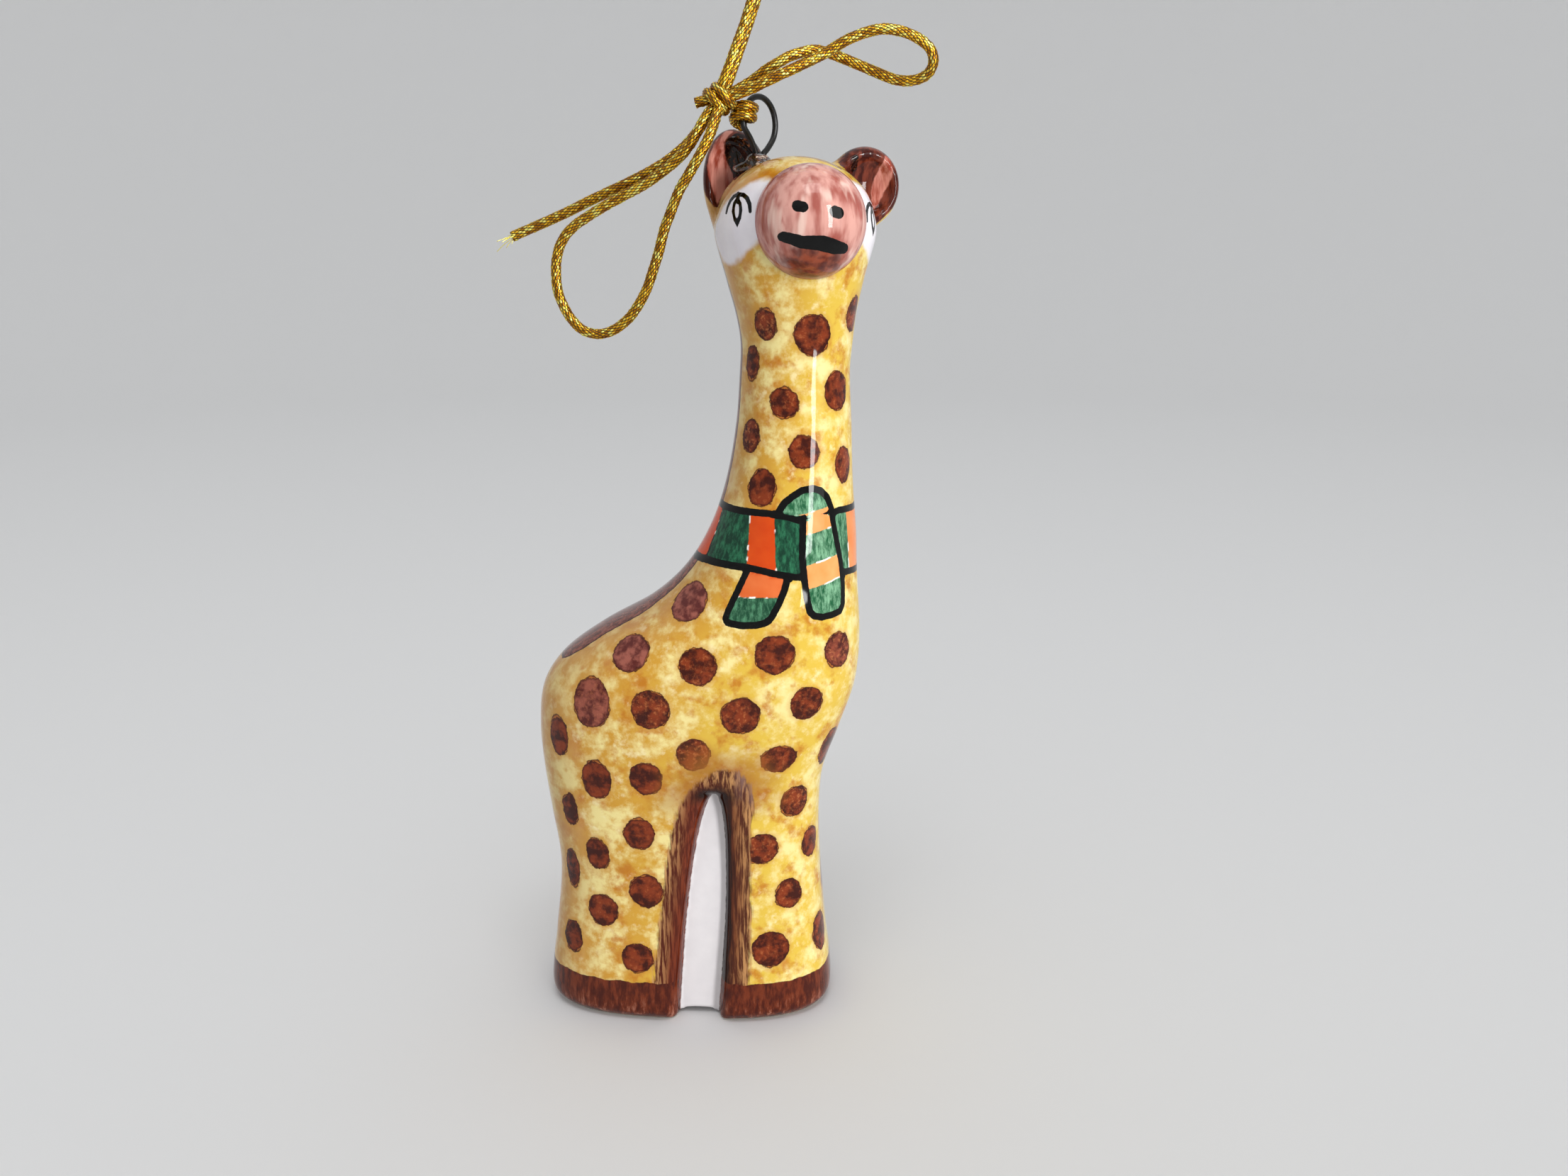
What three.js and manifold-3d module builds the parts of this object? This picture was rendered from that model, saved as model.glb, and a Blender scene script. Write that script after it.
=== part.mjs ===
// A glazed ceramic giraffe ornament that stands on its feet and can hang from a gold cord.
// Units are millimetres. +X runs from the rump to the chest, +Z is up and the face looks toward -Y.
// The origin is on the ground, under the middle of the ceramic and its wire ring.
import * as THREE from 'three';
import { mergeVertices } from 'three/addons/utils/BufferGeometryUtils.js';
import Module from 'manifold-3d';

const wasm = await Module();
wasm.setup();
const { Manifold } = wasm;

// ---------------------------------------------------------------- sizes

const GAP = 0.3; // clearance between pieces that touch
const WALL = 2.8; // thickness of the slip-cast wall
const MIDLINE_Y = 0.7; // the casting's own mirror plane

// The casting, as level sections: height, rump side, chest side, half depth, squareness.
// Squareness 2 is an ellipse; a higher number is a rounder-cornered box.
const SECTIONS = [
  [0.0, -23.6, 15.8, 10.0, 2.8],
  [1.4, -24.6, 16.7, 11.0, 2.8],
  [5.0, -24.5, 16.6, 11.0, 2.8],
  [10.0, -23.8, 16.0, 10.6, 2.8],
  [21.0, -22.7, 15.1, 10.3, 2.7],
  [30.0, -23.7, 14.9, 10.8, 2.6],
  [36.0, -24.4, 15.5, 11.4, 2.5],
  [42.0, -24.7, 17.6, 12.1, 2.4],
  [48.0, -23.9, 19.6, 12.5, 2.4],
  [52.0, -21.3, 20.2, 12.5, 2.3],
  [56.0, -15.9, 20.3, 12.0, 2.2],
  [60.0, -8.9, 20.1, 11.3, 2.1],
  [64.5, -3.9, 19.8, 10.5, 2.0],
  [70.0, -0.4, 19.6, 9.7, 2.0],
  [76.3, 1.9, 19.1, 8.8, 2.0],
  [84.0, 3.4, 18.8, 8.0, 2.0],
  [91.3, 4.0, 18.5, 7.5, 2.0],
  [95.0, 4.1, 18.8, 7.5, 2.0],
  [98.6, 3.5, 19.2, 7.9, 2.0],
  [102.2, 2.5, 20.0, 8.6, 2.0],
  [106.0, 1.6, 20.9, 9.4, 2.0],
  [109.5, 1.2, 21.3, 10.0, 2.0],
  [112.5, 2.0, 20.7, 9.3, 2.0],
  [115.0, 4.2, 18.5, 7.3, 2.0],
  [116.8, 7.2, 15.5, 4.2, 2.0],
  [117.5, 10.4, 12.3, 1.1, 2.0],
];
const SKIN = { points: 40, step: 3.0 }; // points round a level section, and the height between sections
const CORE = { points: 24, step: 6.0 }; // the same for the hollow
const CAVITY_FLOOR = 3.2;
const CAVITY_TOP = 104;

// The shallow arch between the legs, the same on both sides, leaning toward the rump at its foot.
const ARCH = {
  footX: -2.0, topX: 0.7, // the middle at the ground and at the point of the arch
  floorDepth: 8.4, floorHalf: 2.9, floorTop: 34.6,
  waist: 10, // above this height the sides draw in to the point
  flare: 1.05,
};
const ARCH_REACH = 14; // how far out the arch cutter runs
const DOME = { centre: [11.3, 0.7, 109.6], radii: [10.3, 10.2, 8.1] }; // what the ears' scoops keep off
const INSTEP = { half: 3.2, height: 0.8 }; // the low arch under the web
const POUR_HOLE = { x: -13, radius: 3.9 };

// The head looks toward -Y, turned a little to the chest.
const FACING = THREE.MathUtils.degToRad(16); // from -Y toward +X
const FORWARD = new THREE.Vector3(Math.sin(FACING), -Math.cos(FACING), 0);
const MUZZLE = { centre: new THREE.Vector3(13.4, -6.7, 109.6), radius: 6.85, seat: 0.8 };

// Ears: an ellipsoid lobe with a scoop in its front. Radii run sideways, front to back and up.
const EARS = [
  { at: [3.6, 3.3, 114.2], radii: [4.4, 3.1, 7.1], roll: -7, turn: -8, scoop: [3.4, 3.0, 5.6], push: 2.7 },
  { at: [19.8, 5.6, 114.2], radii: [4.9, 3.2, 5.2], roll: 32, turn: 24, scoop: [3.9, 2.9, 4.1], push: 2.6 },
];

// The wire ring stands in a plane turned from the X axis; across is measured along that plane.
const WIRE = 0.75; // diameter
const RING_TURN = THREE.MathUtils.degToRad(54.6);
const RING_CENTRE = new THREE.Vector3(6.7, 1.1, 121.7);
const RING_RADIUS = 3.15;
const RING_START = 188; // degrees, where the near leg meets the round part
const RING_END = -32;
const NEAR_LEG = [[-0.62, 110.6], [-0.5, 114.0], [-0.5, 116.8], [-0.8, 118.2], [-1.75, 119.7]];
const FAR_LEG = [[1.5, 118.75], [0.75, 118.1], [0.5, 116.8], [0.5, 114.0], [0.62, 110.6]];
const WIRE_HOLE = { radius: 1.5, floor: 109.8 };
const BEAD = { radius: 2.0, base: 115.4, stem: 1.2, stemFloor: 112.5, crown: 1.9 };

// The cord: a metallic braid, tied to the ring in a bow.
const CORD = 1.3; // diameter
const CORD_SIDES = 8;
const CORD_STEP = 2.6;
const WRAP = { angle: 163, inner: 0.72, outer: 1.6, length: 1.9 };
const KNOT = { centre: [2.15, -2.75, 124.15], radii: [1.55, 1.25, 1.25] };

const HANGING_LOOP = [
  [2.6, -3.5, 125.9], [3.4, -3.4, 127.8], [4.3, -3.0, 130.2], [5.5, -2.6, 133.4], [6.5, -2.3, 136.8],
  [6.9, -2.1, 140.6], [6.6, -2.0, 144.0], [5.9, -1.9, 147.4], [5.9, -1.8, 150.0], [7.3, -1.7, 152.2],
  [9.1, -1.6, 152.3], [10.5, -1.5, 150.2], [10.4, -1.4, 147.4], [9.2, -1.3, 144.0], [8.2, -1.2, 140.6],
  [6.9, -0.9, 136.8], [5.7, -0.8, 133.4], [4.5, -0.8, 130.2], [3.6, -1.0, 127.8], [2.9, -1.4, 125.9],
];
const BOW_RIGHT = [
  [4.7, -1.6, 125.6], [6.1, -1.6, 126.4], [7.5, -1.7, 127.4], [9.1, -1.7, 128.3], [10.6, -1.5, 129.1],
  [12.1, -1.1, 129.6], [13.6, -0.7, 129.9], [15.1, -0.3, 129.7], [16.7, 0.0, 129.2], [19.1, 0.3, 128.3],
  [21.4, 0.4, 127.4], [23.7, 0.4, 126.6], [25.8, 0.2, 126.5], [27.5, -0.2, 127.2], [28.1, -0.7, 128.5],
  [27.7, -1.1, 129.8], [26.3, -1.5, 130.9], [24.3, -1.8, 131.7], [22.0, -2.0, 132.0], [19.8, -2.1, 131.6],
  [17.6, -2.2, 130.8], [16.0, -2.3, 129.9], [14.4, -2.5, 129.0], [12.9, -2.8, 128.3], [11.4, -3.1, 127.6],
  [9.4, -3.4, 126.7], [7.8, -3.5, 126.0], [6.3, -3.5, 125.3], [4.6, -3.3, 124.7],
];
const BOW_LEFT = [
  [0.7, -3.6, 122.3], [-0.4, -4.1, 120.5], [-1.6, -4.3, 118.6], [-2.9, -4.3, 117.2], [-4.6, -4.2, 115.9],
  [-7.2, -4.0, 114.2], [-9.8, -3.9, 112.9], [-12.4, -3.8, 111.6], [-14.5, -3.7, 110.4], [-16.5, -3.6, 109.1],
  [-17.9, -3.6, 107.5], [-18.7, -3.6, 105.5], [-18.9, -3.6, 103.5], [-18.8, -3.6, 101.5], [-18.2, -3.7, 99.7],
  [-17.1, -3.8, 97.8], [-15.7, -3.9, 96.5], [-13.9, -4.0, 96.0], [-12.0, -4.1, 96.4], [-10.0, -4.2, 97.7],
  [-8.4, -4.4, 99.6], [-7.2, -4.5, 101.7], [-6.3, -4.7, 104.0], [-5.5, -4.9, 106.2], [-4.8, -5.1, 108.6],
  [-3.8, -5.3, 111.0], [-2.8, -5.5, 113.2], [-1.4, -5.7, 115.4], [0.1, -5.7, 117.8], [1.2, -5.3, 120.0],
  [1.9, -4.4, 122.2],
];
const TAIL_LEFT = [
  [0.5, -1.9, 122.3], [-0.6, -2.2, 120.7], [-2.2, -2.3, 118.9], [-4.2, -2.5, 117.3], [-6.0, -2.5, 116.2],
  [-8.4, -2.4, 115.0], [-10.9, -2.3, 113.9], [-14.4, -2.1, 112.4], [-17.9, -2.0, 110.8], [-21.5, -2.1, 109.3],
  [-24.6, -2.4, 108.0],
];
const STUB = [[0.25, -2.7, 124.0], [-0.9, -2.7, 123.7]];

// ---------------------------------------------------------------- shape helpers

/** Catmull-Rom value of each section column at one height. */
function sectionAt(height) {
  const last = SECTIONS.length - 1;
  let i = SECTIONS.findIndex((row) => row[0] > height) - 1;
  if (i < 0) i = height <= 0 ? 0 : last - 1;
  const rows = [i - 1, i, i + 1, i + 2].map((k) => SECTIONS[Math.min(Math.max(k, 0), last)]);
  const span = rows[2][0] - rows[1][0];
  const t = THREE.MathUtils.clamp((height - rows[1][0]) / span, 0, 1);
  const [, back, chest, half, square] = [0, 1, 2, 3, 4].map((c) => {
    const into = slope(rows[0], rows[2], c) * span;
    const out = slope(rows[1], rows[3], c) * span;
    return hermite(rows[1][c], rows[2][c], into, out, t);
  });
  return { back, chest, half, square };
}

function slope(a, b, column) {
  return (b[column] - a[column]) / (b[0] - a[0]);
}

function hermite(a, b, into, out, t) {
  const t2 = t * t;
  const t3 = t2 * t;
  return (2 * t3 - 3 * t2 + 1) * a + (t3 - 2 * t2 + t) * into + (3 * t2 - 2 * t3) * b + (t3 - t2) * out;
}

/** One level outline of so many points, drawn in from the outer surface by inset. */
function outline(height, inset, points) {
  const { back, chest, half, square } = sectionAt(height);
  const middle = (back + chest) / 2;
  const reach = (chest - back) / 2 - inset;
  const depth = half - inset;
  const power = 2 / square;
  return Array.from({ length: points }, (_, k) => {
    const a = (2 * Math.PI * k) / points;
    const x = Math.sign(Math.cos(a)) * Math.abs(Math.cos(a)) ** power;
    const y = Math.sign(Math.sin(a)) * Math.abs(Math.sin(a)) ** power;
    return new THREE.Vector3(middle + reach * x, MIDLINE_Y + depth * y, height);
  });
}

/** A closed solid through a stack of outlines, capped flat at both ends. */
function stack(outlines) {
  const points = outlines.flat();
  const n = outlines[0].length;
  const triangles = [];
  for (let row = 0; row < outlines.length - 1; row += 1) {
    for (let k = 0; k < n; k += 1) {
      const a = row * n + k;
      const b = row * n + ((k + 1) % n);
      triangles.push(a, b, b + n, a, b + n, a + n);
    }
  }
  const top = (outlines.length - 1) * n;
  for (let k = 1; k < n - 1; k += 1) {
    triangles.push(0, k + 1, k);
    triangles.push(top, top + k, top + k + 1);
  }
  const mesh = new wasm.Mesh({
    numProp: 3,
    vertProperties: new Float32Array(points.flatMap((p) => [p.x, p.y, p.z])),
    triVerts: new Uint32Array(triangles),
  });
  return new Manifold(mesh);
}

/** Heights from low to high, one step apart, with every section height near the ends kept. */
function heights(low, high, step) {
  const steps = Math.ceil((high - low) / step);
  const even = Array.from({ length: steps + 1 }, (_, k) => low + ((high - low) * k) / steps);
  const ends = SECTIONS.map((row) => row[0]).filter((z) => z > low && z < high && (z < 3 || z > 112));
  return [...even.filter((z) => ends.every((end) => Math.abs(end - z) > 0.9)), ...ends].sort((a, b) => a - b);
}

function toSolid(geometry) {
  const plain = geometry.clone();
  plain.deleteAttribute('normal');
  plain.deleteAttribute('uv');
  const merged = mergeVertices(plain, 1e-4);
  return new Manifold(new wasm.Mesh({
    numProp: 3,
    vertProperties: new Float32Array(merged.attributes.position.array),
    triVerts: new Uint32Array(merged.index.array),
  }));
}

function toGeometry(solid) {
  const mesh = solid.getMesh();
  const geometry = new THREE.BufferGeometry();
  geometry.setAttribute('position', new THREE.BufferAttribute(mesh.vertProperties, 3));
  geometry.setIndex(new THREE.BufferAttribute(mesh.triVerts, 1));
  geometry.computeVertexNormals();
  return geometry;
}

function ellipsoid(radii, segments = 24) {
  return Manifold.sphere(1, segments).scale(radii);
}

/** A closed round rod that follows a curve. */
function rod(curve, diameter, sides, steps) {
  const section = new THREE.Shape();
  section.absarc(0, 0, diameter / 2, 0, 2 * Math.PI, false);
  const geometry = new THREE.ExtrudeGeometry(section, {
    steps,
    curveSegments: sides / 2,
    bevelEnabled: false,
    extrudePath: curve,
  });
  return geometry;
}

function smoothCurve(points) {
  return new THREE.CatmullRomCurve3(points, false, 'centripetal');
}

// ---------------------------------------------------------------- the casting

function castingSolid() {
  const top = SECTIONS.at(-1)[0];
  let body = stack(heights(0, top, SKIN.step).map((z) => outline(z, 0, SKIN.points)));
  for (const ear of EARS) body = body.add(earLobe(ear));
  for (const ear of EARS) body = body.subtract(earScoop(ear));
  for (const side of [-1, 1]) body = body.subtract(archCutter(side, 0));
  return body.subtract(cavity()).subtract(instep()).subtract(pourHole());
}

/** The hollow that the slip leaves: the outer form drawn in by the wall, round behind the arches. */
function cavity() {
  const levels = heights(CAVITY_FLOOR, CAVITY_TOP, CORE.step);
  let hollow = stack(levels.map((z) => outline(z, WALL, CORE.points)));
  for (const side of [-1, 1]) hollow = hollow.subtract(archCutter(side, WALL));
  return hollow;
}

/** A flared arch that cuts the recess between the legs on one side; grow thickens it. */
function archCutter(side, grow) {
  const floor = ARCH.floorDepth - grow;
  const wide = ARCH.floorHalf + grow + (ARCH_REACH - floor) * ARCH.flare;
  const inner = archPlate(ARCH.floorHalf + grow, ARCH.floorTop + grow, MIDLINE_Y + side * floor);
  const outer = archPlate(wide, ARCH.floorTop + wide - ARCH.floorHalf, MIDLINE_Y + side * ARCH_REACH);
  return Manifold.hull([...inner, ...outer]);
}

/** Corner points of an upright arch outline at one depth, its legs running below the ground. */
function archPlate(half, top, y) {
  const turn = 12;
  const points = [[ARCH.footX - half, y, -2], [ARCH.footX + half, y, -2]];
  for (let k = 0; k <= turn; k += 1) {
    const a = (Math.PI * k) / turn;
    const z = ARCH.waist + (top - ARCH.waist) * Math.sin(a);
    const middle = ARCH.footX + ((ARCH.topX - ARCH.footX) * z) / ARCH.floorTop;
    points.push([middle + half * Math.cos(a), y, z]);
  }
  return points;
}

function instep() {
  const drum = Manifold.cylinder(40, 1, 1, 32, true).rotate([90, 0, 0]);
  return drum.scale([INSTEP.half, 1, INSTEP.height]).translate([ARCH.footX, MIDLINE_Y, 0]);
}

function pourHole() {
  const depth = CAVITY_FLOOR + 2;
  return Manifold.cylinder(depth, POUR_HOLE.radius, POUR_HOLE.radius, 28)
    .translate([POUR_HOLE.x, MIDLINE_Y, -1]);
}

/** Moves an upright shape into an ear's place. */
function placeEar(solid, ear, push) {
  const turn = THREE.MathUtils.degToRad(ear.turn);
  const ahead = [push * Math.sin(turn), -push * Math.cos(turn), 0];
  return solid
    .rotate([0, ear.roll, 0])
    .rotate([0, 0, ear.turn])
    .translate(ear.at)
    .translate(ahead);
}

function earLobe(ear) {
  return placeEar(ellipsoid(ear.radii), ear, 0);
}

/** The ear's hollow, kept off the dome of the head. */
function earScoop(ear) {
  const dome = ellipsoid(DOME.radii, 40).translate(DOME.centre);
  return placeEar(ellipsoid(ear.scoop, 24), ear, ear.push).subtract(dome);
}

/** The ball of the muzzle, cut flat at the back where it is luted on; grow makes its seat. */
function muzzleSolid(grow) {
  const ball = Manifold.sphere(MUZZLE.radius + grow, 36).translate(MUZZLE.centre.toArray());
  const behind = FORWARD.dot(MUZZLE.centre) - MUZZLE.seat - grow;
  return ball.trimByPlane(FORWARD.toArray(), behind);
}

// ---------------------------------------------------------------- wire ring and its bead

/** A point of the ring's plane: across it and up. */
function onRing(across, height) {
  return new THREE.Vector3(
    RING_CENTRE.x + across * Math.cos(RING_TURN),
    RING_CENTRE.y + across * Math.sin(RING_TURN),
    height,
  );
}

function ringPoint(degrees) {
  const a = THREE.MathUtils.degToRad(degrees);
  return onRing(RING_RADIUS * Math.cos(a), RING_CENTRE.z + RING_RADIUS * Math.sin(a));
}

/** The ring's route, as its near leg, its round part and its far leg. */
function wireRoute() {
  const round = [];
  for (let a = RING_START; a >= RING_END; a -= 20) round.push(ringPoint(a));
  const near = NEAR_LEG.map(([across, z]) => onRing(across, z));
  const far = FAR_LEG.map(([across, z]) => onRing(across, z));
  return { near, round, far };
}

/** The ways that the two legs take through the bead, wider than the wire by the gap. */
function legPassages() {
  const { near, round, far } = wireRoute();
  const legs = [[...near, round[0]], [round.at(-1), ...far]];
  const [a, b] = legs.map((points) => toSolid(rod(smoothCurve(points), WIRE + 2 * GAP, 8, 14)));
  return a.add(b);
}

/** The blob of glaze that holds the ring: a low crown on a stem, with the wires' paths left free. */
function beadSolid(grow) {
  const crown = ellipsoid([BEAD.radius + grow, BEAD.radius + grow, BEAD.crown + grow], 20)
    .trimByPlane([0, 0, 1], -BEAD.crown / 2 - grow)
    .translate([RING_CENTRE.x, RING_CENTRE.y, BEAD.base + BEAD.crown / 2]);
  const stemHeight = BEAD.base + 0.5 - BEAD.stemFloor;
  const stem = Manifold.cylinder(stemHeight, BEAD.stem, BEAD.stem, 16)
    .translate([RING_CENTRE.x, RING_CENTRE.y, BEAD.stemFloor]);
  return crown.add(stem);
}

function wireHole() {
  const depth = BEAD.base + 1 - WIRE_HOLE.floor;
  return Manifold.cylinder(depth, WIRE_HOLE.radius, WIRE_HOLE.radius, 24)
    .translate([RING_CENTRE.x, RING_CENTRE.y, WIRE_HOLE.floor]);
}

// ---------------------------------------------------------------- cord

/** The turn of cord round the ring, a sleeve about the wire. */
function wrapGeometry() {
  const half = WRAP.length / 2;
  const bulge = (WRAP.outer - WRAP.inner) * 0.35;
  const profile = [
    [WRAP.inner, -half], [WRAP.outer - bulge, -half], [WRAP.outer, -half + bulge],
    [WRAP.outer, half - bulge], [WRAP.outer - bulge, half], [WRAP.inner, half], [WRAP.inner, -half],
  ];
  return new THREE.LatheGeometry(profile.map(([r, h]) => new THREE.Vector2(r, h)), 24);
}

function cordGeometry(route) {
  const curve = smoothCurve(route.map((p) => new THREE.Vector3(...p)));
  const steps = Math.max(2, Math.round(curve.getLength() / CORD_STEP));
  return rod(curve, CORD, CORD_SIDES, steps);
}

// ---------------------------------------------------------------- assembly

const glaze = new THREE.MeshStandardMaterial({ color: 0xdcb955, roughness: 0.12, metalness: 0 });
const pinkGlaze = new THREE.MeshStandardMaterial({ color: 0xc98f88, roughness: 0.12, metalness: 0 });
const blackWire = new THREE.MeshStandardMaterial({ color: 0x1b1a1a, roughness: 0.4, metalness: 0.7 });
const clearBead = new THREE.MeshStandardMaterial({ color: 0x5a3226, roughness: 0.08, metalness: 0 });
const goldBraid = new THREE.MeshStandardMaterial({ color: 0xc9971f, roughness: 0.3, metalness: 0.9 });

const giraffe = new THREE.Group();

function addMesh(name, geometry, material) {
  const mesh = new THREE.Mesh(geometry, material);
  mesh.name = name;
  giraffe.add(mesh);
  return mesh;
}

function buildCeramic() {
  const body = castingSolid()
    .subtract(muzzleSolid(GAP))
    .subtract(wireHole())
    .subtract(beadSolid(GAP));
  addMesh('ceramic_body', toGeometry(body), glaze);
  addMesh('muzzle', toGeometry(muzzleSolid(0)), pinkGlaze);
}

function buildRing() {
  const { near, round, far } = wireRoute();
  addMesh('wire_loop', rod(smoothCurve([...near, ...round, ...far]), WIRE, 8, 44), blackWire);
  addMesh('setting_bead', toGeometry(beadSolid(0).subtract(legPassages())), clearBead);
}

function buildCord() {
  const wrap = addMesh('cord_wrap', wrapGeometry(), goldBraid);
  const along = ringPoint(WRAP.angle - 1).sub(ringPoint(WRAP.angle + 1)).normalize();
  wrap.position.copy(ringPoint(WRAP.angle));
  wrap.quaternion.setFromUnitVectors(new THREE.Vector3(0, 1, 0), along);

  const knot = addMesh('cord_knot', new THREE.SphereGeometry(1, 16, 10), goldBraid);
  knot.scale.set(...KNOT.radii);
  knot.position.set(...KNOT.centre);

  addMesh('cord_hanging_loop', cordGeometry(HANGING_LOOP), goldBraid);
  addMesh('cord_bow_right', cordGeometry(BOW_RIGHT), goldBraid);
  addMesh('cord_bow_left', cordGeometry(BOW_LEFT), goldBraid);
  addMesh('cord_tail', cordGeometry(TAIL_LEFT), goldBraid);
  addMesh('cord_stub', cordGeometry(STUB), goldBraid);
}

buildCeramic();
buildRing();
buildCord();

export default giraffe;
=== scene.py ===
"""The looks of the glazed ceramic giraffe ornament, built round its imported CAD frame.

Shapes are worked out in millimetres and put into the scene in metres.
"""

import math

import bmesh
import bpy
import numpy as np
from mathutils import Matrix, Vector


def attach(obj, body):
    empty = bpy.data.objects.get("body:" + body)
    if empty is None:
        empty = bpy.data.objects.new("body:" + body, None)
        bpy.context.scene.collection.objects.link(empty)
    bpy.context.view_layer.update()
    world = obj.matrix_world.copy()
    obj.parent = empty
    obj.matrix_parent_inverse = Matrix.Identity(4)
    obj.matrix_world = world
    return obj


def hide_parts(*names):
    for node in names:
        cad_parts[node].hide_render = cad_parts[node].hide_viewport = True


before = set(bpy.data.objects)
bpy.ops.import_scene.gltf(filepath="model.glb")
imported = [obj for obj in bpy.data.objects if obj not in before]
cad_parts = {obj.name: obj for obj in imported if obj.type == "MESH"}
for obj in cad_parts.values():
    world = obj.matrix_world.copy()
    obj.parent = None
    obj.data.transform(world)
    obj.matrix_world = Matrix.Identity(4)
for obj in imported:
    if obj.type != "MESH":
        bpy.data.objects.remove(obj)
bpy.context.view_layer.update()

MM = 0.001
rng = np.random.default_rng(7)

# ---------------------------------------------------------------- camera, light and surroundings

BODY_YAW = 3.0          # degrees: the chest end stands a little nearer the camera
CAMERA_DISTANCE = 162.8 * MM
CAMERA_HEIGHT = 105.1 * MM
CAMERA_PITCH = 15.0
CAMERA_LENS = 28.07
AIM = Vector((9.8, 0.7, 0.0)) * MM
SKY = {"colour": (0.96, 0.98, 1.0, 1), "strength": 0.66}
LIGHT_TARGET = Vector((0.005, 0.0, 0.07))
# Soft boxes: azimuth and elevation in degrees, distance and size in metres, power in watts.
# The windows light the ornament only.
WINDOWS = {"window": (43, 12, 0.55, (0.085, 0.42), 2.5),
           "window_beside": (58, 12, 0.55, (0.2, 0.42), 0.45)}
OVERHEAD = (12, 68, 0.6, (0.3, 0.22), 0.8)
FLOOR_DROP = 0.05 * MM
SWEEP = {"flat": 0.85, "curve": 0.5, "top": 0.85, "sides": 96, "rows": 12}


def add_object(name, data):
    added = bpy.data.objects.new(name, data)
    bpy.context.collection.objects.link(added)
    return added


def add_camera():
    data = bpy.data.cameras.new("camera")
    data.lens = CAMERA_LENS
    data.sensor_width = 36.0
    data.clip_start = 0.005
    camera = add_object("camera", data)
    yaw = math.radians(BODY_YAW)
    back = Vector((math.sin(yaw), -math.cos(yaw), 0)) * CAMERA_DISTANCE
    camera.location = AIM + back + Vector((0, 0, CAMERA_HEIGHT))
    camera.rotation_euler = (math.radians(90 - CAMERA_PITCH), 0, yaw)
    bpy.context.scene.camera = camera


def add_area_light(name, azimuth, elevation, distance, size, power):
    """A soft box at an azimuth about the object (0 is the camera's side), facing its middle."""
    data = bpy.data.lights.new(name, "AREA")
    data.shape = "RECTANGLE"
    data.size, data.size_y = size
    data.energy = power
    light = add_object(name, data)
    a, e = math.radians(azimuth), math.radians(elevation)
    ray = Vector((math.sin(a) * math.cos(e), -math.cos(a) * math.cos(e), math.sin(e)))
    light.location = LIGHT_TARGET + ray * distance
    light.rotation_euler = (-ray).to_track_quat("-Z", "Y").to_euler()
    light.visible_camera = False
    return light


def add_lights():
    world = bpy.data.worlds.new("studio")
    world.use_nodes = True
    background = world.node_tree.nodes["Background"]
    background.inputs["Color"].default_value = SKY["colour"]
    background.inputs["Strength"].default_value = SKY["strength"]
    bpy.context.scene.world = world
    pieces = bpy.data.collections.new("lit_by_the_windows")
    for piece in [o for o in bpy.data.objects if o.type == "MESH"]:
        pieces.objects.link(piece)
    for name, window in WINDOWS.items():
        add_area_light(name, *window).light_linking.receiver_collection = pieces
    add_area_light("overhead", *OVERHEAD)
    bpy.context.scene.view_settings.view_transform = "Standard"


def add_surroundings():
    """A pale floor that sweeps up all round, out of reach of every view."""
    profile = [(0.0, 0.0), (SWEEP["flat"], 0.0)]
    for a in np.linspace(0, math.pi / 2, SWEEP["rows"] + 1)[1:]:
        profile.append((SWEEP["flat"] + SWEEP["curve"] * math.sin(a), SWEEP["curve"] * (1 - math.cos(a))))
    profile.append((SWEEP["flat"] + SWEEP["curve"], SWEEP["top"]))
    turns = SWEEP["sides"]
    points = [(0, 0, -FLOOR_DROP)]
    for r, z in profile[1:]:
        for k in range(turns):
            a = 2 * math.pi * k / turns
            points.append((r * math.cos(a), r * math.sin(a), z - FLOOR_DROP))
    faces = first_fan(turns) + ring_quads(1, len(profile) - 1, turns)
    sweep = new_piece("sweep", np.array(points) / MM, faces)
    paint = Paint("sweep")
    grain = paint.noise(0.03, detail=3)
    paint.colour(paint.mix(grain, (0.87, 0.865, 0.86), (0.9, 0.895, 0.89)))
    paint.value("Roughness", 0.9)
    paint.value("Specular IOR Level", 0.1)
    sweep.data.materials.append(paint.material)


# ---------------------------------------------------------------- meshes and shader nodes

def first_fan(turns):
    """Triangles from point 0 to the ring of points after it."""
    return [(0, 1 + k, 1 + (k + 1) % turns) for k in range(turns)]


def ring_quads(first, rings, turns):
    """Quads between each ring of points and the next, beginning at the point numbered first."""
    faces = []
    for start in range(first, first + (rings - 1) * turns, turns):
        for k in range(turns):
            a, b = start + k, start + (k + 1) % turns
            faces.append((a, a + turns, b + turns, b))
    return faces


def ball_points(rows, turns, last):
    """Points of a unit ball: its pole on Z, then rings of points down to the angle last from it."""
    points = [(0, 0, 1)]
    for row in range(1, rows + 1):
        a = last * row / rows
        for k in range(turns):
            t = 2 * math.pi * k / turns
            points.append((math.sin(a) * math.cos(t), math.sin(a) * math.sin(t), math.cos(a)))
    return np.array(points)


def new_piece(name, points, faces):
    """A mesh object from points in mm."""
    mesh = bpy.data.meshes.new(name)
    mesh.from_pydata((np.asarray(points) * MM).tolist(), [], [tuple(map(int, f)) for f in faces])
    mesh.polygons.foreach_set("use_smooth", [True] * len(mesh.polygons))
    mesh.update()
    return add_object(name, mesh)


def add_attribute(piece, name, values):
    """A number per vertex that the piece's material reads."""
    attribute = piece.data.attributes.new(name, "FLOAT", "POINT")
    attribute.data.foreach_set("value", np.ascontiguousarray(values, dtype=np.float32))


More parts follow.
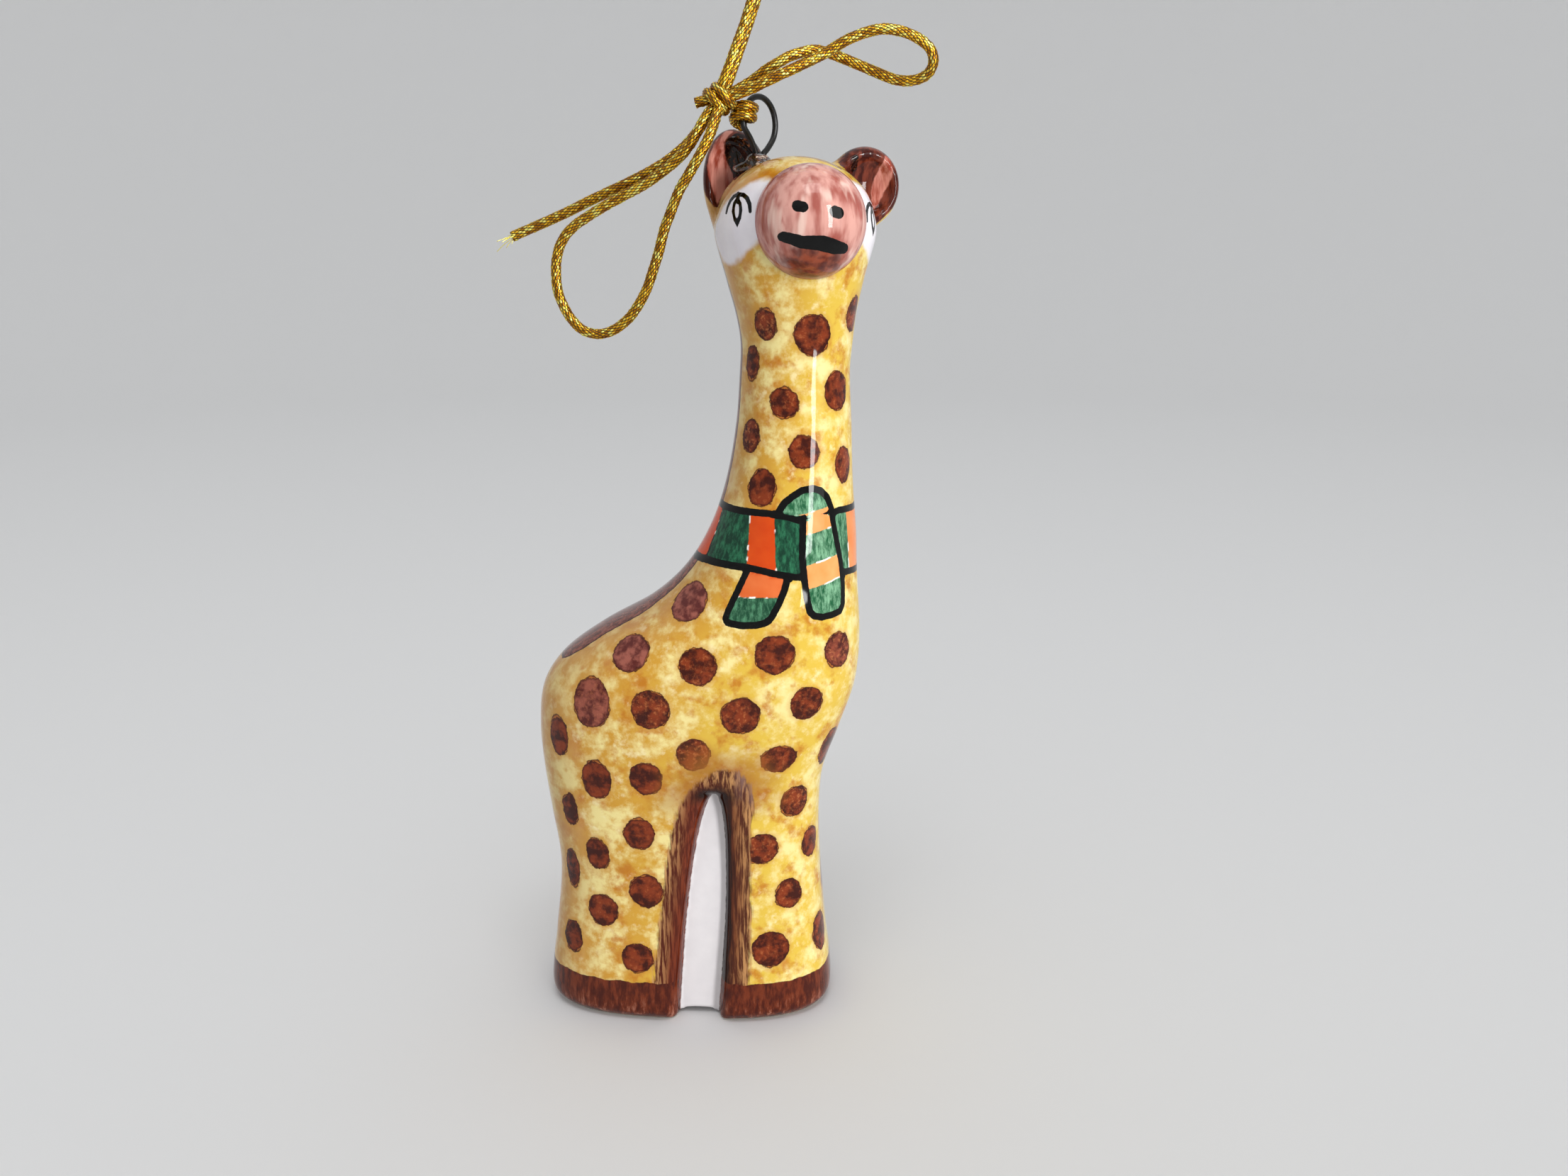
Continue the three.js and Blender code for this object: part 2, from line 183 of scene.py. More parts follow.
def finish_piece(piece, body, slot, *nodes, material):
    """Gives a piece its material and its body, and hides the CAD nodes that it replaces. The slot is not
    used.
    """
    piece.data.materials.append(material)
    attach(piece, body)
    if nodes:
        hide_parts(*nodes)
    return piece


def hex_colour(text):
    """Linear colour of an sRGB hex code."""
    channels = [int(text[k:k + 2], 16) / 255 for k in (1, 3, 5)]
    return tuple(c / 12.92 if c < 0.04045 else ((c + 0.055) / 1.055) ** 2.4 for c in channels)


class Paint:
    """A material laid out in code. Its coordinates are the piece's own, in mm."""

    def __init__(self, name):
        self.material = bpy.data.materials.new(name)
        self.material.use_nodes = True
        self.tree = self.material.node_tree
        self.shader = self.tree.nodes["Principled BSDF"]
        place = self.tree.nodes.new("ShaderNodeTexCoord").outputs["Object"]
        self.place = self.put("VectorMath", {0: place, "Scale": 1 / MM}, operation="SCALE")

    def feed(self, socket, value):
        """Links a socket to a node's output, or sets it to a plain value."""
        if isinstance(value, bpy.types.NodeSocket):
            self.tree.links.new(value, socket)
        else:
            socket.default_value = value

    def put(self, kind, inputs, output=0, **settings):
        """Adds a node with its inputs and settings, and returns one of its outputs."""
        node = self.tree.nodes.new("ShaderNode" + kind)
        for key, value in settings.items():
            setattr(node, key, value)
        for key, value in inputs.items():
            self.feed(node.inputs[key], value)
        return node.outputs[output]

    def value(self, name, value):
        """Sets one of the surface's own values."""
        self.feed(self.shader.inputs[name], value)

    def colour(self, socket):
        self.value("Base Color", socket)

    def math(self, operation, a, b=0.0, c=0.0):
        return self.put("Math", {0: a, 1: b, 2: c}, operation=operation)

    def weighted(self, value, weight, base):
        """The value times its weight, added to the base."""
        return self.math("MULTIPLY_ADD", value, weight, base)

    def attribute(self, name):
        return self.put("Attribute", {}, output="Fac", attribute_name=name)

    def stretched(self, x, y, z):
        """Coordinates squeezed by factors, so that noise on them is drawn out the other way."""
        return self.put("VectorMath", {0: self.place, 1: (x, y, z)}, operation="MULTIPLY")

    def noise(self, size, detail=2.0, roughness=0.5, place=None, shift=0.0):
        """Noise whose features are about so many mm across, from 0 to 1."""
        where = place or self.place
        if shift:
            where = self.put("VectorMath", {0: where, 1: (shift, shift, shift)}, operation="ADD")
        inputs = {"Vector": where, "Scale": 1 / size, "Detail": detail, "Roughness": roughness}
        return self.put("TexNoise", inputs)

    def step(self, value, low, high):
        """0 below low, 1 above high, smooth between them."""
        inputs = {"Value": value, "From Min": low, "From Max": high}
        return self.put("MapRange", inputs, interpolation_type="SMOOTHSTEP")

    def fade(self, value, low, high):
        """1 below low, 0 above high, smooth between them."""
        return self.math("SUBTRACT", 1.0, self.step(value, low, high))

    def mix(self, factor, a, b):
        inputs = {0: factor, 6: self.rgba(a), 7: self.rgba(b)}
        return self.put("Mix", inputs, output=2, data_type="RGBA")

    def blend(self, value, low, high, a, b, amount=1.0):
        """Colour a where the value is below low, and as much as amount of colour b above high."""
        factor = self.step(value, low, high)
        return self.mix(factor if amount == 1.0 else self.product(factor, amount), a, b)

    def rgba(self, colour):
        if isinstance(colour, str):
            colour = hex_colour(colour)
        return (*colour, 1.0) if isinstance(colour, tuple) and len(colour) == 3 else colour

    def product(self, *factors):
        result = factors[0]
        for factor in factors[1:]:
            result = self.math("MULTIPLY", result, factor)
        return result

    def roughened(self, value, size, amount, shift=0.0):
        """A distance with an uneven edge."""
        wander = self.math("SUBTRACT", self.noise(size, detail=3, shift=shift), 0.5)
        return self.weighted(wander, 2 * amount, value)

    def bump(self, height, strength, distance):
        """Adds a relief, its height from 0 to 1, distance in mm."""
        before = self.shader.inputs["Normal"].links
        inputs = {"Height": height, "Strength": strength, "Distance": distance * MM}
        if before:
            inputs["Normal"] = before[0].from_socket
        self.value("Normal", self.put("Bump", inputs))


# ---------------------------------------------------------------- the ceramic's form

# Level sections of the casting in mm: height, rump side, chest side, half depth, squareness.
SECTIONS = np.array([
    (0.0, -23.6, 15.8, 10.0, 2.8), (1.4, -24.6, 16.7, 11.0, 2.8), (5.0, -24.5, 16.6, 11.0, 2.8),
    (10.0, -23.8, 16.0, 10.6, 2.8), (21.0, -22.7, 15.1, 10.3, 2.7), (30.0, -23.7, 14.9, 10.8, 2.6),
    (36.0, -24.4, 15.5, 11.4, 2.5), (42.0, -24.7, 17.6, 12.1, 2.4), (48.0, -23.9, 19.6, 12.5, 2.4),
    (52.0, -21.3, 20.2, 12.5, 2.3), (56.0, -15.9, 20.3, 12.0, 2.2), (60.0, -8.9, 20.1, 11.3, 2.1),
    (64.5, -3.9, 19.8, 10.5, 2.0), (70.0, -0.4, 19.6, 9.7, 2.0), (76.3, 1.9, 19.1, 8.8, 2.0),
    (84.0, 3.4, 18.8, 8.0, 2.0), (91.3, 4.0, 18.5, 7.5, 2.0), (95.0, 4.1, 18.8, 7.5, 2.0),
    (98.6, 3.5, 19.2, 7.9, 2.0), (102.2, 2.5, 20.0, 8.6, 2.0), (105.5, 1.7, 20.7, 9.2, 2.0),
    (109.5, 1.4, 20.9, 9.5, 2.0), (114.0, 3.4, 18.9, 7.5, 2.0),
])
MIDLINE_Y = 0.7
TRUNK_TOP = 110.5
TRUNK_TOP_EASE = 3.0
DOME = {"centre": (11.3, 0.7, 109.6), "radii": (10.1, 10.0, 8.2)}
FACING = math.radians(16)
FORWARD = np.array([math.sin(FACING), -math.cos(FACING), 0.0])
ASIDE = np.array([math.cos(FACING), math.sin(FACING), 0.0])
UP = np.array([0.0, 0.0, 1.0])
MUZZLE_CENTRE = np.array([13.4, -6.7, 109.6])
MUZZLE_RADIUS = 6.85

# Ears in mm and degrees: middle, radii (side, front to back, up), roll, turn, scoop radii and its push.
EARS = {
    "left": {"at": (3.6, 3.3, 114.2), "radii": (4.4, 3.1, 7.1), "roll": -7, "turn": -8,
             "scoop": (3.4, 3.0, 5.6), "push": 2.7},
    "right": {"at": (19.8, 5.6, 114.2), "radii": (4.9, 3.2, 5.2), "roll": 32, "turn": 24,
              "scoop": (3.9, 2.9, 4.1), "push": 2.6},
}
ARCH = {"foot_x": -2.0, "top_x": 0.7, "floor_depth": 8.4, "half": 2.9, "top": 34.6, "waist": 10.0,
        "flank": 4.2, "rise": 3.4}
ARCH_REACH = 46           # height below which the arch and its recess are cut
INSTEP = {"half": 3.2, "height": 0.8}
POUR_HOLE = {"x": -13.0, "radius": 3.9, "depth": 6.0}
LEG_HOLLOW = {"centre": (-10.0, 0.7, 11.5), "radii": (9.0, 6.5, 8.3), "top": 24}
# How softly the shapes run into each other, in mm.
EASE = {"dome": 1.6, "ear": 2.2, "scoop": 0.7, "recess": 0.9}
SCOOP_DEPTH = 0.25        # mm that a scoop may cut into the head
TINY = 1e-6


def unit(v):
    """A vector, or each row of vectors, brought to length 1."""
    return v / np.linalg.norm(v, axis=-1, keepdims=True)


def section_at(z):
    """Section values at heights z, by a smooth cubic through the table."""
    table = SECTIONS
    z = np.clip(z, table[0, 0], table[-1, 0])
    i = np.clip(np.searchsorted(table[:, 0], z, side="right") - 1, 0, len(table) - 2)
    last = len(table) - 1
    before, here, after, beyond = (table[np.clip(i + k, 0, last)] for k in (-1, 0, 1, 2))
    span = (after[..., 0] - here[..., 0])[..., None]
    t = ((z - here[..., 0])[..., None]) / span
    into = (after - before) / (after[..., :1] - before[..., :1]) * span
    out = (beyond - here) / (beyond[..., :1] - here[..., :1]) * span
    t2, t3 = t * t, t * t * t
    values = (2 * t3 - 3 * t2 + 1) * here + (t3 - 2 * t2 + t) * into
    values = values + (3 * t2 - 2 * t3) * after + (t3 - t2) * out
    back, chest, half, square = (values[..., k] for k in (1, 2, 3, 4))
    return (back + chest) / 2, (chest - back) / 2, half, square


def smooth_union(a, b, k):
    """Both shapes, with the crease between them eased over about k mm."""
    h = np.clip(0.5 + 0.5 * (b - a) / k, 0, 1)
    return b * (1 - h) + a * h - k * h * (1 - h)


def smooth_cut(a, b, k):
    """Field a without field b."""
    return -smooth_union(-a, b, k)


def ellipsoid_field(p, centre, radii):
    """About the distance to an ellipsoid, negative inside, as every field here is."""
    q = p - np.array(centre)
    k = np.linalg.norm(q / np.array(radii), axis=-1)
    r = np.linalg.norm(q, axis=-1)
    return r * (1 - 1 / np.maximum(k, TINY))


def turn_matrix(roll, turn):
    """Degrees of roll about Y, then of turn about Z."""
    a, b = math.radians(roll), math.radians(turn)
    about_y = np.array([[math.cos(a), 0, math.sin(a)], [0, 1, 0], [-math.sin(a), 0, math.cos(a)]])
    about_z = np.array([[math.cos(b), -math.sin(b), 0], [math.sin(b), math.cos(b), 0], [0, 0, 1]])
    return about_z @ about_y


def ear_local(p, ear, push):
    """Points in an ear's own axes: sideways, front to back, up."""
    turn = math.radians(ear["turn"])
    ahead = push * np.array([math.sin(turn), -math.cos(turn), 0])
    return (p - np.array(ear["at"]) - ahead) @ turn_matrix(ear["roll"], ear["turn"])


def ear_field(p, ear):
    return ellipsoid_field(ear_local(p, ear, 0.0), (0, 0, 0), ear["radii"])


def scoop_field(p, ear):
    return ellipsoid_field(ear_local(p, ear, ear["push"]), (0, 0, 0), ear["scoop"])


def trunk_field(p):
    """Legs, body, neck and the flare of the head."""
    middle, reach, half, square = section_at(p[..., 2])
    x, y = p[..., 0] - middle, p[..., 1] - MIDLINE_Y
    rho = (np.abs(x / reach) ** square + np.abs(y / half) ** square) ** (1 / square)
    r = np.hypot(x, y)
    radial = r * (1 - 1 / np.maximum(rho, TINY))
    return np.maximum(-smooth_union(-radial, TRUNK_TOP - p[..., 2], TRUNK_TOP_EASE), -p[..., 2])


def beside_arch(p):
    """How far toward the chest a point lies from the leaning middle line of the arch."""
    rise = np.clip(p[..., 2] / ARCH["top"], 0, 1)
    return p[..., 0] - ARCH["foot_x"] - (ARCH["top_x"] - ARCH["foot_x"]) * rise


def arch_distance(p):
    """Signed distance, seen from the side, to the pointed arch between the legs: negative within it."""
    half, tall = ARCH["half"], ARCH["top"] - ARCH["waist"]
    across, up = beside_arch(p), np.clip(p[..., 2] - ARCH["waist"], 0, tall)
    k = np.maximum(np.hypot(across / half, up / tall), 1e-4)
    level = (k - 1) * k / np.hypot(across / half ** 2, up / tall ** 2 + TINY)
    above = p[..., 2] - ARCH["top"]
    return np.where(above > 0, np.hypot(above, np.maximum(level, 0)), level)


def recess_field(p):
    """Positive outside the two leg columns, where the recess takes clay away."""
    away = np.clip(arch_distance(p), 0, ARCH["flank"]) / ARCH["flank"]
    beyond = np.maximum(arch_distance(p) - ARCH["flank"], 0)
    rise = ARCH["rise"] * np.sqrt(np.maximum(1 - (1 - away) ** 2, 0)) + beyond
    return np.abs(p[..., 1] - MIDLINE_Y) - ARCH["floor_depth"] - rise


def underside_field(p):
    """Negative inside the instep arch, the pour hole and the hollow just above it."""
    x, y, z = p[..., 0], p[..., 1] - MIDLINE_Y, p[..., 2]
    instep = (np.hypot((x - ARCH["foot_x"]) / INSTEP["half"], z / INSTEP["height"]) - 1) * INSTEP["height"]
    hole = np.maximum(np.hypot(x - POUR_HOLE["x"], y) - POUR_HOLE["radius"], z - POUR_HOLE["depth"])
    hollow = ellipsoid_field(p, LEG_HOLLOW["centre"], LEG_HOLLOW["radii"])
    return np.minimum(instep, np.minimum(hole, hollow))


def ceramic_field(p):
    """The whole casting: negative inside it."""
    dome = ellipsoid_field(p, DOME["centre"], DOME["radii"])
    field = smooth_union(trunk_field(p), dome, EASE["dome"])
    for ear in EARS.values():
        field = smooth_union(field, ear_field(p, ear), EASE["ear"])
    for ear in EARS.values():
        scoop = np.maximum(scoop_field(p, ear), -(dome - SCOOP_DEPTH))
        field = smooth_cut(field, scoop, EASE["scoop"])
    carved = smooth_cut(field, -recess_field(p), EASE["recess"])
    field = np.where(p[..., 2] < ARCH_REACH, carved, field)
    return np.where(p[..., 2] < LEG_HOLLOW["top"], np.maximum(field, -underside_field(p)), field)


# ---------------------------------------------------------------- meshing a field

def corner_values(values):
    """The eight corner values of every cell."""
    nx, ny, nz = values.shape
    take = lambda i, j, k: values[i:nx - 1 + i, j:ny - 1 + j, k:nz - 1 + k]
    return {(i, j, k): take(i, j, k) for i in (0, 1) for j in (0, 1) for k in (0, 1)}


def cell_points(values, low, step):
    """One point in every cell that the surface crosses, and the cells' index grid."""
    corners = corner_values(values)
    count = sum((v < 0).astype(np.int8) for v in corners.values())
    active = (count > 0) & (count < 8)
    cells = np.argwhere(active)
    total = np.zeros((len(cells), 3))
    crossings = np.zeros(len(cells))
    picked = {key: v[active] for key, v in corners.items()}
    for a in picked:
        for axis in range(3):
            if a[axis] == 1:
                continue
            b = tuple(1 if d == axis else a[d] for d in range(3))
            va, vb = picked[a], picked[b]
            crossed = (va < 0) != (vb < 0)
            t = np.where(crossed, va / np.where(crossed, va - vb, 1), 0)
            point = np.tile(np.array(a, float), (len(cells), 1))
            point[:, axis] = t
            total[crossed] += point[crossed]
            crossings += crossed
    points = low + (cells + total / crossings[:, None]) * step
    index = np.full(active.shape, -1, np.int64)
    index[active] = np.arange(len(cells))
    return points, index


def cell_quads(values, index):
    """Quads round every grid edge that the surface crosses."""
    inside = values < 0
    quads = []
    for axis in range(3):
        u, v = [d for d in range(3) if d != axis]
        ahead = [slice(None)] * 3
        ahead[axis] = slice(1, None)
        behind = [slice(None)] * 3
        behind[axis] = slice(0, -1)
        a, b = inside[tuple(behind)], inside[tuple(ahead)]
        crossed = np.argwhere(a != b)
        keep = (crossed[:, u] > 0) & (crossed[:, v] > 0)
        keep &= (crossed[:, u] < index.shape[u]) & (crossed[:, v] < index.shape[v])
        crossed = crossed[keep]
        outward = a[tuple(crossed.T)]
        ring = []
        for du, dv in ((1, 1), (0, 1), (0, 0), (1, 0)):
            cell = crossed.copy()
            cell[:, u] -= du
            cell[:, v] -= dv
            ring.append(index[tuple(cell.T)])
        ring = np.stack(ring, axis=1)
        if axis == 1:
            outward = ~outward
        ring[~outward] = ring[~outward][:, ::-1]
        quads.append(ring)
    return np.concatenate(quads)


NUDGE = 0.02              # mm to each side at which a slope is taken
SETTLE_ROUNDS = 3
LONGEST_SHIFT = 0.25      # mm that a point moves at most in a round
LEAST_SLOPE = 0.05        # the least squared slope that a move is worked out from
SLABS = 12                # parts that the grid is worked out in, to spare memory


def settle(points, field):
    """Moves points on to the field's zero surface."""
    for _ in range(SETTLE_ROUNDS):
        slope = field_slope(points, field)
        size = np.maximum((slope ** 2).sum(axis=1), LEAST_SLOPE)
        shift = slope * (field(points) / size)[:, None]
        length = np.linalg.norm(shift, axis=1, keepdims=True)
        points = points - shift * np.minimum(1, LONGEST_SHIFT / np.maximum(length, TINY))
    return points


def field_slope(points, field):
    """The field's gradient at each point, which faces outward at its surface."""
    slope = np.empty_like(points)
    for axis in range(3):
        offset = np.zeros(3)
        offset[axis] = NUDGE
        slope[:, axis] = (field(points + offset) - field(points - offset)) / (2 * NUDGE)
    return slope


def mesh_field(field, low, high, step):
    """Points and quads of the field's zero surface, from a grid of cells a step across."""
    axes = [np.arange(a, b + step, step) for a, b in zip(low, high)]
    grid = np.stack(np.meshgrid(*axes, indexing="ij"), axis=-1)
    values = np.concatenate([field(slab) for slab in np.array_split(grid, SLABS)])
    points, index = cell_points(values, np.array(low), step)
    return settle(points, field), cell_quads(values, index)


# ---------------------------------------------------------------- where the paint goes

# Spots on the near side in mm: x, y, z of the middle, half width and half height, and then the tone.
# Tone 0 is dark chocolate, 0.5 speckled brown and 1 mauve. The far side has them too, moved a little.
SPOTS = [
    (-2.3, -7.6, 61.7, 2.7, 2.9, 1.0), (-10.0, -9.4, 55.1, 2.7, 2.6, 0.9), (-0.8, -11.6, 54.0, 2.5, 2.5, 0.3),
    (9.2, -10.6, 55.5, 2.7, 2.6, 0.2), (17.4, -6.5, 55.0, 2.3, 2.4, 0.7), (-15.4, -10.0, 48.1, 2.8, 3.5, 0.8),
    (-7.2, -11.6, 47.9, 2.6, 2.7, 0.4), (4.7, -11.4, 47.2, 2.6, 2.6, 0.3), (13.3, -9.1, 48.3, 2.4, 2.4, 0.3),
    (-20.6, -7.6, 42.4, 1.8, 2.9, 0.0), (-1.6, -11.3, 41.5, 2.2, 2.3, 0.5), (9.7, -9.3, 40.3, 2.6, 2.0, 0.2),
    (16.1, -3.7, 40.2, 2.0, 3.0, 0.2), (-15.2, -9.7, 37.0, 2.2, 2.9, 0.0), (-8.2, -10.8, 37.7, 2.3, 2.4, 0.1),
    (-19.5, -7.5, 31.5, 1.4, 2.5, 0.0), (-9.6, -9.9, 29.1, 2.2, 2.4, 0.1), (11.7, -6.9, 33.2, 2.3, 2.3, 0.4),
    (-15.7, -8.6, 25.3, 1.8, 2.5, 0.0), (7.1, -8.8, 26.7, 2.6, 2.3, 0.3), (13.8, -4.4, 26.0, 1.8, 2.2, 0.2),
    (-19.8, -6.3, 21.9, 1.4, 3.0, 0.0), (-8.9, -9.5, 20.2, 2.4, 2.5, 0.1), (10.9, -7.3, 19.2, 2.1, 2.1, 0.3),
    (-15.3, -8.6, 16.7, 2.3, 2.4, 0.1), (-20.1, -7.1, 11.5, 1.7, 2.4, 0.0), (8.4, -8.7, 11.2, 2.7, 2.7, 0.2),
    (15.3, -3.6, 11.5, 2.0, 2.9, 0.2), (-10.4, -9.7, 9.8, 2.3, 2.2, 0.1), (7.8, -6.1, 97.4, 1.6, 2.0, 0.5),
    (13.8, -6.5, 96.1, 2.4, 2.6, 0.2), (18.7, -2.0, 98.5, 1.7, 2.3, 0.3), (6.0, -4.4, 92.5, 1.3, 2.2, 0.3),
    (10.2, -6.9, 87.7, 1.9, 2.0, 0.3), (16.9, -4.2, 89.0, 2.2, 2.5, 0.2), (5.7, -5.2, 83.3, 1.7, 2.1, 0.6),
    (12.8, -7.3, 81.5, 2.0, 2.2, 0.2), (17.8, -3.6, 79.4, 1.8, 2.3, 0.3), (7.3, -7.4, 76.9, 2.0, 2.4, 0.1),
]
# Spots on the two ends, which have no partner on the far side.
END_SPOTS = [
    (-24.6, 2.2, 44.0, 2.1, 2.7, 0.1), (-23.8, 1.4, 33.0, 1.9, 2.5, 0.0), (-23.2, 2.6, 22.5, 1.8, 2.4, 0.2),
    (-24.2, 1.2, 11.5, 2.0, 2.4, 0.1), (20.0, 4.0, 61.5, 1.9, 2.3, 0.3), (19.4, 4.6, 48.0, 1.9, 2.4, 0.3),
    (15.0, 1.6, 33.0, 1.8, 2.3, 0.2), (15.2, 1.0, 18.5, 1.7, 2.2, 0.3),
]
FAR_SIDE_SHIFT = 1.4      # how far a spot of the far side may stray from its partner
NO_SPOT = -5.0            # the distance given to points that are near no spot
SPOT_REACH = 3            # mm round a spot within which points are measured to it
SPOT_FADE = 0.15          # how fast a spot gives out where the surface falls away from it

# The scarf is laid out on a chart: arc length round the neck from the face side, and height.
NECK_X = 10.0
SCARF_TOP = [(-180, 74.6), (-46, 74.2), (-12, 74.2), (5, 73.8), (14, 73.3), (32, 73.5), (51, 74.1),
             (78, 73.9), (180, 74.6)]
SCARF_BOTTOM = [(-180, 65.6), (-100, 66.0), (-58, 66.4), (-26, 66.3), (-14, 66.0), (-2, 65.5),
                (11, 65.1), (56, 64.8), (82, 64.4), (180, 65.6)]
SCARF_STRIPES = (-150, -120, -90, -63, -26, -5, 62, 88, 120, 150)   # degrees; the odd ones are orange
KNOT_LINE = [(-0.5, 73.9), (0.3, 75.1), (1.4, 76.0), (2.6, 76.7), (4.1, 76.9), (5.2, 76.5), (6.2, 75.6),
             (6.9, 74.2), (7.2, 72.4), (7.9, 69.7), (8.7, 66.9), (9.2, 64.0), (9.2, 61.1), (8.6, 60.2),
             (7.2, 60.0), (5.6, 59.9), (4.4, 60.2), (3.8, 60.8), (3.4, 62.4), (3.0, 65.0), (2.7, 68.0),
             (2.7, 71.2), (2.8, 73.2)]
KNOT_STRIPES = (64.1, 67.3, 71.3, 74.1)
TAIL_LINE = [(-4.6, 66.4), (-5.5, 64.6), (-6.5, 62.7), (-7.3, 61.2), (-7.7, 60.2), (-7.3, 59.7),
             (-5.2, 59.4), (-2.9, 59.5), (-1.7, 59.9), (-1.2, 60.5), (-0.3, 62.2), (0.4, 63.9), (0.8, 65.6)]
TAIL_STRIPE = 63.0
LINE_HALF = 0.46
SCARF_LEVEL = 70.0        # the height that the stripes lean about
STRIPE_LEAN = 0.3         # degrees round the neck for each mm of height
DEGREE = 0.17             # mm round the neck in a degree
SCARF_REACH = (55, 80)    # heights between which its black lines are drawn
KNOT_SLANT = 0.2
KNOT_MIDDLE = 5.0
KNOT_TUCK = 0.3           # mm that the knot stays under the scarf's top edge
BAND_MARGIN = 0.2         # mm within the scarf's edges where its own stripes show above the tuck
TAIL_ROOT = [(-4.0, 67.6), (0.9, 67.6)]      # where the tail's outline begins and ends, under the scarf
# How pale the colours are on the knot, on the tail, and on the band beyond so many degrees: partly lighter
# paint, partly painted light on the lit side of the neck.
PALE_AND_PAINTED_LIGHT = {"knot": 0.9, "tail": 0.25, "band": 0.6, "from": 40}

# The outer edge of the brown round the arch, seen from the side: x and z.
BAND_LINE = [(-8.6, -1.0), (-8.0, 7.7), (-7.0, 16.0), (-6.3, 22.0), (-5.3, 27.8), (-4.8, 30.5), (-4.0, 33.1),
             (-2.6, 35.6), (-1.2, 37.2), (0.3, 38.4), (2.0, 39.1), (4.1, 38.8), (5.8, 36.7), (6.3, 33.1),
             (5.7, 29.4), (5.5, 24.4), (5.7, 17.5), (5.4, 6.9), (5.0, -1.0)]

# The left eye, straight from the front: x and z. The right eye is its mirror image, a little lower.
EYE_OUTLINE = [(4.45, 112.8), (5.0, 111.9), (5.15, 111.0), (5.0, 110.0), (4.5, 108.95), (4.0, 109.8),
               (3.72, 110.9), (3.85, 111.9)]
EYE_WHITE = {"centre": (4.42, 111.0), "radii": (0.27, 0.9)}
# A stroke is its points and its half width at each.
LASHES = [
    ([(4.5, 112.9), (3.95, 112.7), (3.5, 112.2), (3.15, 111.5), (2.95, 110.7)],
     (0.26, 0.22, 0.2, 0.16, 0.12)),
    ([(4.6, 112.9), (5.2, 112.8), (5.7, 112.4), (6.05, 111.7), (6.15, 110.8)],
     (0.26, 0.27, 0.28, 0.26, 0.2)),
    ([(4.5, 113.0), (4.55, 111.9)], (0.24, 0.2)),
]
EYE_PLACES = {"left": (4.6, -6.8, 110.9), "right": (21.1, -2.2, 109.9)}
RIGHT_EYE_DROP = 1.0
HEAD_AXIS = np.array([11.3, 0.7])
EYE_REACH = {"low": 104, "high": 116, "from": 30, "to": 95}     # heights, and degrees from the nose
EYE_PATCH = {"azimuth": 60, "half": 30, "lean": 3.2, "z": 109.6, "height": 5.1, "scale": 4.5, "above": 100}

# Ear paint, in each ear's own axes: sideways and up from its middle.
LEFT_EAR = {
    "dark": [(-0.9, 4.2), (-0.4, 5.6), (0.9, 6.4), (2.4, 6.2), (3.7, 4.8), (3.9, 3.0), (2.6, 1.2), (0.9, 0.9),
             (-0.5, 2.0)],
    "pink": [(-3.3, 3.2), (-1.8, 5.9), (-0.4, 6.9), (0.6, 6.7), (-0.6, 5.4), (-0.9, 3.6), (-0.4, 1.8),
             (-0.2, 0.6), (-1.4, 0.0), (-2.7, -1.8), (-3.1, 0.6)],
    "wedge": [(-4.4, 2.9), (-3.3, 2.2), (-3.0, 0.4), (-2.75, -1.7), (-3.5, -0.5), (-4.3, 1.3)],
}
RIGHT_EAR = {
    "brown": [(-4.6, 0.3), (-3.9, 2.9), (-2.5, 4.5), (-1.0, 5.3), (-0.2, 4.5), (0.3, 2.8), (0.9, 1.0),
              (0.6, -0.4), (-0.8, -0.9), (-2.6, -0.3)],
    "pink": [(-0.2, 4.9), (1.2, 4.8), (2.8, 3.4), (3.1, 1.6), (3.2, 0.0), (3.1, -1.8), (2.4, -1.5),
             (1.4, 0.0), (0.8, 1.5), (0.4, 3.0)],
    "stripe": ([(1.0, 4.9), (2.5, 3.8), (3.3, 2.0), (3.4, 0.0), (3.0, -2.1), (2.3, -3.6)],
               (0.3, 0.6, 0.75, 0.7, 0.5, 0.3)),
    "spot": ([(-3.4, 2.0), (-2.7, 1.2)], (0.5, 0.6)),
}
EAR_OVERLAP = 0.45        # mm that the undercoat of the ears shows round their other colours
EAR_REACH = (2.0, 8)      # mm behind an ear's middle, and all round it, within which it is painted
EAR_RIM = 0.55            # how far behind an ear's middle its paint ends
EAR_HEM = 0.9             # mm that the ears' paint runs on to the head beside them
FOREHEAD = 114            # height above which it is
FOREHEAD_STROKE = ([(11.6, -1.5), (16.6, -1.7)], (0.5, 0.6))
MANE_HEIGHTS = (52.0, 54.0, 58.0, 61.0, 66.0, 78.0, 108.0)
MANE_HALVES = (4.8, 5.6, 5.3, 4.5, 4.2, 3.0, 2.2)      # half widths at those heights
MANE_CORNER = 1.3
CLEAR = -3.0              # the distance given to points that a paint is kept off
PAINTED_LEGS = 50         # height below which the paint round the arch is laid out
ABOVE_ARCH = 20.0         # the distance from the arch given to all points above that

# The muzzle's paint, facing it: across and up from its middle.
NOSTRILS = [([(-3.0, 1.62), (-2.45, 1.5)], (0.66, 0.6)), ([(1.25, 1.0), (1.8, 0.85)], (0.68, 0.66))]
MOUTH = ([(-4.5, -1.8), (-2.4, -2.45), (-0.2, -2.55), (1.4, -2.95), (2.75, -3.15)],
         (0.58, 0.72, 0.88, 0.86, 0.62))
CHIN = {"centre": (-0.6, -4.6), "radii": (3.6, 2.3)}
MUZZLE_SEAT = 4.0
FAR = 1e3                 # mm, farther than any point


def segment_distance(q, start, end):
    """Distances from points to a segment, and how far along it the nearest point lies."""
    along = end - start
    t = np.clip((q - start) @ along / (along @ along), 0, 1)
    return np.linalg.norm(q - start - t[:, None] * along, axis=1), t


